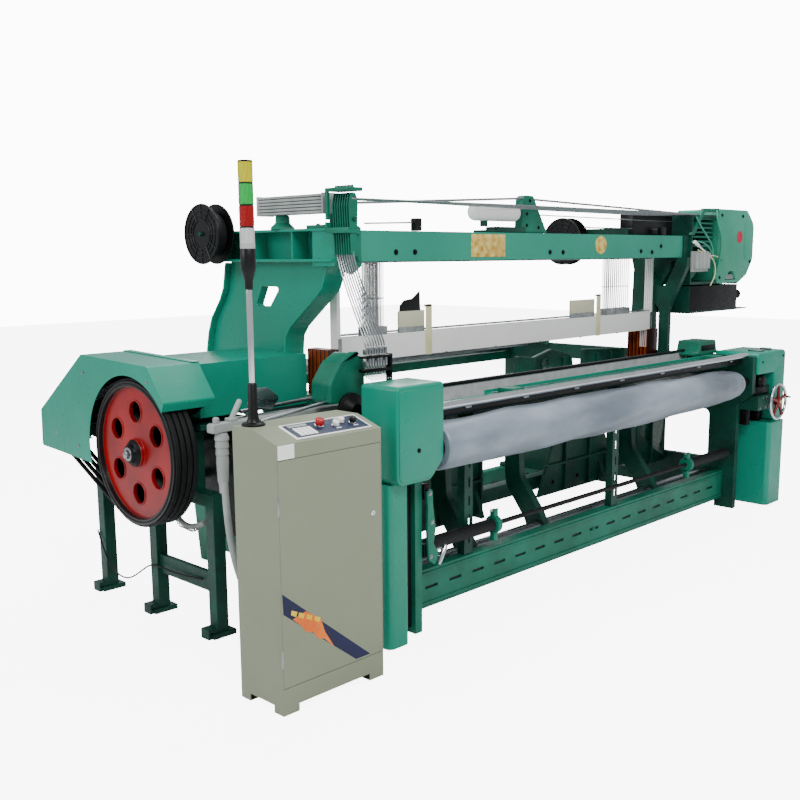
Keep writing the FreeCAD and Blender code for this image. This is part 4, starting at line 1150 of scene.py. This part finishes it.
# ----------------------------------------------------------------- wrapped roll
ROLL_PROFILE = [(0.058, 0.073), (0.0605, 0.100), (0.075, 0.105), (0.42, 0.1065), (0.90, 0.1055),
    (1.50, 0.1075), (2.10, 0.1025), (2.45, 0.0965), (2.69, 0.0905), (2.80, 0.083), (2.845, 0.0725)]
ROLL_LENGTH = ROLL_PROFILE[-1][0] - ROLL_PROFILE[0][0]
SHEET_ALONG, SHEET_AROUND = 300, 96
SHEET_THICK = 0.0015
RIPPLES = 26
RIPPLE_SHARE = 0.8
SAG = 0.006
GATHER = 0.0022


def roll_radius(x):
    for (here, low), (there, high) in zip(ROLL_PROFILE, ROLL_PROFILE[1:]):
        if x <= there:
            blend = (x - here) / (there - here)
            blend = blend * blend * (3 - 2 * blend)
            return low + (high - low) * blend
    return ROLL_PROFILE[-1][1]


def roll_cover():
    """The loose silver sheet wrapped round the take-up roller."""
    clear()
    bpy.ops.mesh.primitive_grid_add(x_subdivisions=SHEET_ALONG, y_subdivisions=SHEET_AROUND, size=1)
    piece = bpy.context.object
    piece.name = "roll_wrap"
    centre = at(0, ROLL_Y, ROLL_Z)
    waves = [(random.uniform(3, 16), random.randint(1, 6), random.uniform(0, 6.28),
        random.uniform(0.0004, 0.0017)) for _ in range(RIPPLES)]
    for vertex in piece.data.vertices:
        u, v = vertex.co.x + 0.5, vertex.co.y + 0.5
        u = 0.5 - 0.5 * math.cos(math.pi * u)
        x = ROLL_PROFILE[0][0] + ROLL_LENGTH * u
        angle = 2 * math.pi * v
        ripple = sum(size * math.sin(rate * x + turns * angle + phase) for rate, turns, phase, size in waves)
        sag = SAG * max(0, -math.sin(angle)) * math.sin(math.pi * u)
        gather = GATHER * math.sin(9 * angle + 3 * x) * max(0, 1 - 8 * min(u, 1 - u))
        loose = min(1, 25 * min(u, 1 - u))
        radius = roll_radius(x) + loose * (RIPPLE_SHARE * ripple + sag + gather)
        vertex.co = centre + Vector((x, radius * math.cos(angle), radius * math.sin(angle)))
    pick(piece)
    bpy.ops.object.mode_set(mode="EDIT")
    bpy.ops.mesh.select_all(action="SELECT")
    bpy.ops.mesh.remove_doubles(threshold=0.00002)
    bpy.ops.mesh.normals_make_consistent(inside=False)
    bpy.ops.object.mode_set(mode="OBJECT")
    run_modifier(piece, "SOLIDIFY", thickness=SHEET_THICK, offset=-1)
    pick(piece)
    bpy.ops.object.shade_smooth()
    fit(piece, SHEET, "take_up")
    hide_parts("roller_cover")


def roll_fittings():
    """Collars and pins of the cloth roller."""
    collars = []
    for x in (0.585, 2.445):
        collars.append(turned("collar", (x, 0.05, 0.372), TO_RIGHT, [(0, 0.044), (0.03, 0.044)], 32, 0.003))
        collars.append(slab("ear", (x, 0.034, 0.40), (x + 0.03, 0.066, 0.445), 0.005))
        collars.append(slab("ear", (x, 0.034, 0.29), (x + 0.03, 0.066, 0.345), 0.005))
    fit_set("roller_collars", collars, CAST_GREEN, "cloth_beam")
    pins = [rod("pin", (x, 0.05, 0.44), (x + 0.052, 0.05, 0.44), 0.006) for x in (0.575, 2.435)]
    fit_set("collar_pins", pins, CHROME, "cloth_beam")


def breast_trim():
    """Trim, cradles and temples along the breast beam."""
    edge = slab("breast_edge", (0.056, -0.018, 0.975), (2.984, 0.062, 0.981), 0.002)
    fit(edge, GREEN)
    # A thin black strip below the breast tube, darkening the band between the tube and the roll.
    black = slab("breast_dark_strip", (0.056, -0.022, 0.955), (2.984, -0.010, 0.990), 0.003)
    fit(black, BLACK)
    clips = [slab("clip", (0.30 + 0.42 * number, -0.03, 0.975), (0.34 + 0.42 * number, -0.008, 1.0), 0.003)
        for number in range(7)]
    fit_set("tube_cradles", clips, STEEL)
    strips = [
        slab("strip", (0.66, 0.012, 0.9925), (2.86, 0.024, 0.9965), 0.001),
        slab("strip", (0.66, 0.118, 0.9925), (2.86, 0.128, 0.9965), 0.001),
    ]
    fit_set("temple_strips", strips, STEEL)
    blocks = [slab("temple", (x, 0.02, 0.993), (x + 0.09, 0.115, 1.018), 0.004) for x in (0.70, 2.72)]
    fit_set("temple_blocks", blocks, CAST_GREEN)
    bolts("temple_bolts", [(0.72 + 0.40 * number, 0.04, 0.992) for number in range(6)], UP, 0.007, STEEL)
    fell = slab("fell_plate", (0.056, 0.124, 0.971), (2.984, 0.190, 0.979), 0.002)
    fit(fell, GREEN)
    shield = plate("breast_shield", "yz", [(0.125, 0.93), (0.20, 0.86), (0.205, 0.865), (0.13, 0.94)], 0.06,
        2.92, 0.001)
    fit(shield, IRON)


# ----------------------------------------------------------------- right side
def handwheel():
    x, z = 3.233, 0.697
    centre = Vector((x, -0.165, z))
    rim = hoop("wheel_grip", centre, TO_BACK, 0.111, 0.0092, 64)
    fit(rim, CHROME, "take_up_handwheel")
    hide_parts("handwheel")
    spokes = []
    for number in range(5):
        angle = math.radians(72 * number + 18)
        aim = Vector((math.cos(angle), 0, math.sin(angle)))
        spokes.append(turned("spoke", centre + aim * 0.018, aim, [(0, 0.014), (0.03, 0.010),
            (0.075, 0.0085), (0.088, 0.012)], 14))
    spokes.append(turned("boss", (x, -0.146, z), TO_FRONT, [(0, 0.026), (0.028, 0.030), (0.034, 0.024)], 32,
        0.001))
    fit_set("wheel_spokes", spokes, DARK_RED, "take_up_handwheel")
    nut = turned("wheel_nut", (x, -0.1795, z), TO_FRONT, [(0, 0.012), (0.005, 0.012), (0.0055, 0.009)], 6)
    fit(nut, GOLD, "take_up_handwheel")
    shaft = rod("wheel_shaft", (x, -0.15, z), (x, -0.015, z), 0.012)
    fit(shaft, STEEL, "take_up_handwheel")
    grip = rod("wheel_handle", (x + 0.105, -0.171, 0.72), (x + 0.105, -0.20, 0.72), 0.008)
    fit(grip, CHROME, "take_up_handwheel")


def worm_housing():
    parts = [
        turned("gear", (3.045, 0.06, 0.84), TO_RIGHT, [(0, 0.14), (0.02, 0.14), (0.022, 0.10), (0.06, 0.08),
            (0.07, 0.04)], 48, 0.003),
        slab("case", (3.045, -0.09, 0.742), (3.26, 0.03, 0.80), 0.01),
        turned("drum", (3.16, -0.10, 0.83), TO_BACK, [(0, 0.03), (0.02, 0.045), (0.10, 0.045)], 32, 0.003),
        slab("arm", (3.20, -0.05, 0.56), (3.26, 0.05, 0.65), 0.008),
        slab("arm", (3.045, -0.05, 0.55), (3.085, 0.05, 0.65), 0.008),
    ]
    fit_set("worm_housing", parts, IRON)
    bolts("worm_bolts", [(3.07, -0.12, 0.665), (3.11, -0.12, 0.73), (3.15, -0.12, 0.665),
        (3.16, -0.12, 0.73)], TO_FRONT, 0.007, STEEL)


def rapier_boxes():
    left = plate("left_rapier_box", "xz", [(-0.23, 1.02, 0.02), (-0.03, 1.02), (-0.03, 1.20, 0.02),
        (-0.09, 1.235, 0.03), (-0.17, 1.19, 0.05), (-0.23, 1.11, 0.05)], 0.27, 0.13, 0.008)
    rib = plate("left_rapier_rib", "xz", [(-0.238, 1.03), (-0.238, 1.11, 0.05), (-0.176, 1.198, 0.05),
        (-0.09, 1.245, 0.03), (-0.082, 1.238), (-0.165, 1.185, 0.05), (-0.225, 1.105, 0.05),
        (-0.225, 1.03)], 0.262, 0.03, 0.002)
    fit_set("left_rapier_case", [left, rib], CAST_GREEN)
    wheel = turned("left_rapier_wheel", (-0.13, 0.262, 0.99), TO_FRONT,
        [(0, 0.075), (0.015, 0.075), (0.02, 0.06), (0.05, 0.03)], 40, 0.002)
    fit(wheel, IRON)
    right = plate("right_rapier_box", "xz", [(2.78, 1.0, 0.008), (3.12, 1.0, 0.008), (3.12, 1.016, 0.006),
        (3.08, 1.02), (3.06, 1.09, 0.01), (2.86, 1.09, 0.01), (2.84, 1.02), (2.78, 1.016, 0.006)], 0.20,
        0.16, 0.005)
    fit(right, CAST_GREEN)
    dark = [slab("recess", (2.875, 0.196, 1.028), (3.045, 0.2005, 1.062), 0.001)]
    fit_set("right_rapier_recess", dark, IRON)
    bolts("right_rapier_bolts", [(2.81, 0.24, 1.014), (2.81, 0.32, 1.014), (3.10, 0.24, 1.014)], UP, 0.007,
        IRON)


def dobby():
    case = plate("dobby_casting", "xz", [(3.42, 1.45, 0.02), (3.50, 1.43, 0.01), (3.60, 1.52, 0.02),
        (3.66, 1.52, 0.02), (3.72, 1.43, 0.01), (3.86, 1.49, 0.04), (3.948, 1.60, 0.08),
        (3.948, 1.85, 0.09), (3.84, 1.943, 0.03), (3.42, 1.943, 0.02)], 0.392, 0.326, 0.012)
    fit(case, DOBBY_GREEN)
    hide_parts("dobby_case")
    rim = plate("dobby_lid", "xz", [
        (3.80, 1.56, 0.06), (3.925, 1.62, 0.07), (3.925, 1.83, 0.08), (3.80, 1.90, 0.04),
    ], 0.3905, 0.004, 0.0015)
    fit(rim, DOBBY_GREEN)
    label = turned("dobby_label_blank", (3.725, 0.392, 1.756), TO_FRONT, [(0, 0.042), (0.0015, 0.042)], 48)
    fit(label, LABEL_RED)
    bolts("dobby_case_bolts", [(3.45, 0.392, 1.90), (3.45, 0.392, 1.60), (3.45, 0.392, 1.48),
        (3.76, 0.392, 1.90), (3.90, 0.392, 1.585)], TO_FRONT, 0.009, IRON)


def dobby_pipes():
    """Oil pipes and solenoid wires beside the dobby."""
    pipes = [
        tube("pipe", [(3.36, 0.386, 1.93), (3.34, 0.372, 1.86), (3.40, 0.366, 1.78), (3.42, 0.366, 1.68),
            (3.40, 0.376, 1.56), (3.38, 0.392, 1.47)], 0.008),
        tube("pipe", [(3.10, 0.394, 1.88), (3.16, 0.384, 1.80), (3.28, 0.38, 1.74), (3.34, 0.38, 1.64),
            (3.36, 0.39, 1.50)], 0.006),
        tube("pipe", [(3.04, 0.39, 1.72), (3.15, 0.375, 1.735), (3.26, 0.37, 1.70), (3.32, 0.378, 1.62)],
            0.005),
    ]
    fit_set("oil_pipes", pipes, DOBBY_GREEN)
    wires = [
        tube("wire", [(3.14, 0.385, 1.66), (3.22, 0.37, 1.65), (3.34, 0.365, 1.60), (3.36, 0.37, 1.50),
            (3.30, 0.38, 1.43)], 0.004),
        tube("wire", [(3.12, 0.385, 1.67), (3.20, 0.375, 1.62), (3.30, 0.372, 1.64), (3.38, 0.375, 1.62)],
            0.0035),
    ]
    fit_set("solenoid_wires", wires, CREAM)
    block = [slab("coil", (3.06 + 0.05 * number, 0.36, 1.545), (3.10 + 0.05 * number, 0.40, 1.65), 0.004)
        for number in range(4)]
    block.append(slab("coil_base", (3.05, 0.385, 1.525), (3.27, 0.40, 1.66), 0.003))
    fit_set("solenoid_block", block, GREY_PLASTIC)


def dobby_works():
    """The dobby's levers, jacks and arms."""
    lever = turned("solenoid_lever", (3.04, 0.37, 1.72), Vector((0.14, 0, -0.06)),
        [(0, 0.012), (0.06, 0.012), (0.07, 0.006), (0.16, 0.006)], 16, 0.001)
    fit(lever, WHITE)
    ribs = []
    for number in range(7):
        z = 1.88 - 0.03 * number
        ribs.append(slab("jack", (3.09, 0.42, z - 0.012), (3.40, 0.68, z), 0.002))
    fit_set("dobby_jacks", ribs, CAST_GREEN)
    arms = []
    for number in range(8):
        y = 0.44 + 0.028 * number
        arms.append(plate("arm", "xz", [(3.10, 1.50, 0.01), (3.16, 1.48, 0.01), (3.36, 1.62, 0.02),
            (3.34, 1.70, 0.01)], y, 0.010, 0.001))
    fit_set("dobby_arms", arms, CAST_GREEN)
    strip = slab("dobby_strip", (3.42, 0.396, 1.4425), (3.74, 0.40, 1.462), 0.001)
    fit(strip, DOBBY_GREEN)
    dark = slab("dobby_box_front", (3.062, 0.3985, 1.262), (3.732, 0.3998, 1.43), 0.0006)
    fit(dark, IRON)
    valve = [
        slab("valve", (3.56, 0.40, 1.465), (3.68, 0.46, 1.50), 0.003),
        turned("plug", (3.68, 0.43, 1.482), TO_RIGHT, [(0, 0.012), (0.03, 0.014)], 20),
    ]
    fit_set("dobby_valve", valve, STEEL)
    brace = plate("dobby_brace", "xz", [
        (3.045, 1.765), (3.20, 1.94, 0.03), (3.42, 1.945), (3.42, 1.92), (3.22, 1.915, 0.03), (3.09, 1.765),
    ], 0.396, 0.024, 0.003)
    fit(brace, CAST_GREEN)


def control_box():
    """The black electric box behind the beam's right end."""
    box = slab("beam_box", (2.50, 0.50, 1.7605), (2.98, 0.60, 1.895), 0.008)
    lid = slab("beam_box_lid", (2.58, 0.46, 1.895), (2.98, 0.62, 1.912), 0.004)
    fit(box, BLACK)
    fit(lid, GREY_PLASTIC)


# --------------------------------------------------------------- lower details
def middle_frames():
    """Cast supports between the side frames."""
    for name, x in (("first", 0.99), ("second", 2.18)):
        points = [(0.45, 0.245), (1.22, 0.245), (1.16, 0.50, 0.05), (1.02, 0.72, 0.06), (0.98, 0.82),
            (0.72, 0.82), (0.68, 0.62, 0.08), (0.52, 0.45, 0.06)]
        web = plate(f"{name}_support", "yz", points, x, 0.03, 0.005)
        hole = turned("tool", (x - 0.02, 0.86, 0.56), TO_RIGHT, [(0, 0.06), (0.08, 0.06)], 32)
        cut(web, hole)
        cap = turned("cap", (x - 0.02, WHEEL_Y, WHEEL_Z), TO_RIGHT, [(0, 0.055), (0.07, 0.055)], 40, 0.003)
        cut(cap, shaft_tool(x))
        brace = plate("brace", "yz", [(0.50, 0.25), (0.53, 0.25), (0.95, 0.72), (0.93, 0.74)], x - 0.02,
            0.07, 0.004)
        foot = slab("foot", (x - 0.05, 1.19, 0.245), (x + 0.08, 1.25, 0.27), 0.004)
        fit_set(f"{name}_support", [web, cap, brace, foot], SHADED_GREEN)
    beam = slab("support_beam", (0.046, 0.56, 0.28), (2.994, 0.64, 0.36), 0.006)
    fit(beam, SHADED_GREEN)


def cross_walls():
    """Ribbed walls across the loom under the roll."""
    walls = [
        plate("wall", "xz", [(0.10, 0.25), (1.04, 0.25), (1.04, 0.60, 0.03), (0.10, 0.68)], 0.50, 0.02,
            0.004),
        plate("wall", "xz", [(1.56, 0.25), (2.30, 0.25), (2.27, 0.50, 0.05), (2.12, 0.76, 0.04),
            (1.86, 0.79, 0.04), (1.72, 0.60, 0.1)], 0.50, 0.02, 0.004),
        plate("wall", "xz", [(2.66, 0.26), (2.99, 0.26), (2.99, 0.80), (2.72, 0.80, 0.05),
            (2.62, 0.50, 0.08)], 0.50, 0.02, 0.004),
    ]
    hole = turned("tool", (2.93, 0.48, 0.36), TO_BACK, [(0, 0.028), (0.06, 0.028)], 32)
    cut(walls[2], hole)
    ribs = [slab("rib", (x, 0.478, 0.26), (x + 0.012, 0.502, top), 0.003)
        for x, top in ((0.35, 0.62), (0.70, 0.60), (1.02, 0.58), (1.80, 0.70), (2.05, 0.74), (2.25, 0.45),
        (2.78, 0.78))]
    ribs += [slab("rib", (low, 0.480, z), (high, 0.502, z + 0.014), 0.003)
             for low, high, z in ((0.10, 1.04, 0.44), (1.62, 2.28, 0.42), (2.66, 2.99, 0.55))]
    fit_set("cross_walls", walls + ribs, SHADED_GREEN)
    bolts("cross_wall_bolts", [(0.20, 0.50, 0.32), (0.55, 0.50, 0.32), (0.90, 0.50, 0.32),
        (1.70, 0.50, 0.32), (1.95, 0.50, 0.32), (2.20, 0.50, 0.32), (2.85, 0.50, 0.70)], TO_FRONT, 0.010,
        IRON)


def rear_castings():
    """The cast brackets on the cross beam behind the healds."""
    brackets = [
        plate("bracket", "xz", [(1.66, 0.90), (2.26, 0.90), (2.23, 1.02, 0.03), (2.02, 1.07, 0.03),
            (1.84, 1.03, 0.04), (1.68, 1.05, 0.01)], 0.75, 0.03, 0.005),
        plate("bracket", "xz", [(2.36, 0.86), (2.85, 0.86), (2.85, 1.02, 0.01), (2.36, 1.045, 0.01)], 0.75,
            0.03, 0.005),
    ]
    hole = turned("tool", (1.95, 0.72, 0.975), TO_BACK, [(0, 0.032), (0.09, 0.032)], 32)
    cut(brackets[0], hole)
    brackets.append(slab("beam", (0.046, 0.755, 0.90), (2.994, 0.785, 0.95), 0.004))
    brackets.append(hoop("rim", (1.95, 0.75, 0.975), TO_BACK, 0.038, 0.006, 36))
    brackets += [slab("rib", (x, 0.735, 0.905), (x + 0.014, 0.752, 1.01), 0.003)
        for x in (2.12, 2.20, 2.50, 2.66)]
    fit_set("rear_brackets", brackets, SHADED_GREEN)
    bolts("rear_bracket_bolts", [(1.74, 0.75, 0.94), (2.10, 0.75, 0.94), (2.42, 0.75, 0.94),
        (2.78, 0.75, 0.94)], TO_FRONT, 0.009, IRON)


def shaft_tool(x):
    return turned("shaft_tool", (x - 0.1, WHEEL_Y, WHEEL_Z), TO_RIGHT, [(0, 0.031), (0.3, 0.031)], 40)


def leg_lever():
    """The beam catch lever by the left leg, with its chrome handle."""
    arm = plate("catch_arm", "xz", [(0.046, 0.64, 0.012), (0.085, 0.65, 0.012), (0.088, 0.56, 0.03),
        (0.105, 0.47, 0.02), (0.09, 0.40, 0.02), (0.125, 0.35, 0.02), (0.10, 0.30, 0.01),
        (0.058, 0.33, 0.01), (0.05, 0.46, 0.03), (0.055, 0.56, 0.02)], -0.028, 0.014, 0.003)
    fit(arm, CAST_GREEN)
    ring = hoop("catch_ring", (0.134, -0.02, 0.352), TO_BACK, 0.018, 0.006, 32)
    fit(ring, STEEL)
    handle = turned("catch_handle", (0.118, -0.03, 0.30), Vector((0.05, 0, 0.085)),
        [(0, 0.008), (0.02, 0.011), (0.085, 0.011), (0.095, 0.006)], 24, 0.001)
    fit(handle, CHROME)
    bolts("catch_bolts", [(0.066, -0.028, 0.63), (0.078, -0.028, 0.50), (0.07, -0.028, 0.345)], TO_FRONT,
        0.008, STEEL)
    yoke = [
        slab("yoke", (0.045, -0.012, 0.34), (0.07, 0.02, 0.40), 0.005),
        slab("yoke", (0.045, -0.014, 0.60), (0.075, 0.06, 0.67), 0.005),
    ]
    fit_set("catch_yoke", yoke, IRON)


def rail_details():
    # Painted shade: thin black sheets at the back of the tie rails' channels, where shade falls.
    webs = [slab("web", (0.048, 0.088 + shift, 0.098), (2.992, 0.091 + shift, 0.216), 0)
        for shift in (0, 1.11)]
    fit_set("rail_channel_shade", webs, BLACK)
    lips = [slab("lip", (0.048, 0.074, z), (2.992, 0.0798, z + 0.012), 0.001) for z in (0.078, 0.218)]
    fit_set("rail_lips", lips, CAST_GREEN)
    bolts("rail_bolts", [(0.10, 0.08, 0.10), (0.10, 0.08, 0.21), (1.50, 0.08, 0.158), (2.94, 0.08, 0.10),
        (2.94, 0.08, 0.21)], TO_FRONT, 0.010, CAST_GREEN)
    bolts("frame_bolts", [(-0.0005, y, z) for y, z in ((0.06, 0.12), (0.06, 0.22), (1.24, 0.12),
        (1.24, 0.22), (0.10, 0.95), (1.87, 0.93))], TO_LEFT, 0.012, CAST_GREEN)
    bolts("right_frame_bolts", [(3.0405, y, z) for y, z in ((0.06, 0.12), (0.06, 0.22), (1.24, 0.12),
        (1.24, 0.22), (0.30, 0.95), (1.87, 0.93))], TO_RIGHT, 0.012, CAST_GREEN)


def bearing_rims():
    """Rims round the bearings in both side frames."""
    for side, low, high in (("left", -0.0165, -0.0005), ("right", 3.0405, 3.0565)):
        rings = []
        for y, z, bore in ((WHEEL_Y, WHEEL_Z, 0.031), (0.2, 0.21, 0.041), (WARP_Y, WARP_Z, 0.031)):
            outer = turned("ring", (low, y, z), TO_RIGHT, [(0, bore + 0.022), (high - low, bore + 0.03)],
                40, 0.002)
            inner = turned("tool", (low - 0.02, y, z), TO_RIGHT, [(0, bore), (0.08, bore)], 40)
            cut(outer, inner)
            rings.append(outer)
        fit_set(f"{side}_bearing_rims", rings, STEEL)


def warp_details():
    """Drop-wire bars and their ends at the back."""
    bars = [slab("bar", (0.046, 1.50 + 0.05 * number, 1.0), (2.994, 1.508 + 0.05 * number, 1.03), 0.001)
        for number in range(6)]
    fit_set("warp_stop_bars", bars, STEEL)
    ends = [slab("end", (x, 1.48, 0.992), (x + 0.02, 1.78, 1.04), 0.004) for x in (0.046, 2.974)]
    fit_set("warp_stop_ends", ends, CAST_GREEN)


def let_off_wheel():
    """The toothed let-off wheel and the ribs of the beam flanges."""
    teeth = [turned("wheel", (0.135, WARP_Y, WARP_Z), TO_RIGHT, [(0, 0.20), (0.022, 0.20)], 60, 0.001)]
    for number in range(60):
        angle = math.radians(6 * number)
        y, z = WARP_Y + 0.203 * math.cos(angle), WARP_Z + 0.203 * math.sin(angle)
        tooth = slab("tooth", (0.137, -0.005, -0.004), (0.155, 0.005, 0.004), 0.001)
        teeth.append(swing(tooth, angle, at(0, y, z)))
    fit_set("let_off_wheel", teeth, IRON, "warp_supply")
    spokes = []
    for x in (0.156, 2.8815):
        for number in range(6):
            angle = math.radians(60 * number)
            aim = Vector((0, math.cos(angle), math.sin(angle)))
            start = Vector((x, WARP_Y, WARP_Z)) + aim * 0.082
            spokes.append(turned("spoke", start, aim, [(0, 0.010), (0.16, 0.007)], 10, 0.001))
        spokes.append(hoop("ring", (x, WARP_Y, WARP_Z), TO_RIGHT, 0.25, 0.006, 72))
    fit_set("warp_flange_ribs", spokes, CAST_GREEN, "warp_supply")


def build():
    dress_nodes()
    signal_tower()
    console()
    cabinet()
    cabinet_gear()
    guard_trim()
    wheel_trim()
    belt_details()
    motor_details()
    stand_details()
    conduit_details()
    cable_arm()
    linkage_clutter()
    left_gantry()
    spring_box()
    selectors()
    weft_fingers()
    heddles()
    heald_fittings()
    sley_trim()
    beam_fittings()
    weft_canister()
    spool_faces("left_reel", -0.178, 1.25, 1.753, "left_reel")
    spool_faces("right_reel", 2.236, 0.85, 1.725, "right_reel")
    front_covers()
    roll_cover()
    roll_fittings()
    breast_trim()
    handwheel()
    worm_housing()
    rapier_boxes()
    dobby()
    dobby_pipes()
    dobby_works()
    control_box()
    middle_frames()
    cross_walls()
    rear_castings()
    leg_lever()
    rail_details()
    bearing_rims()
    warp_details()
    let_off_wheel()


set_camera()
build()
set_world()
set_lights()
set_floor()
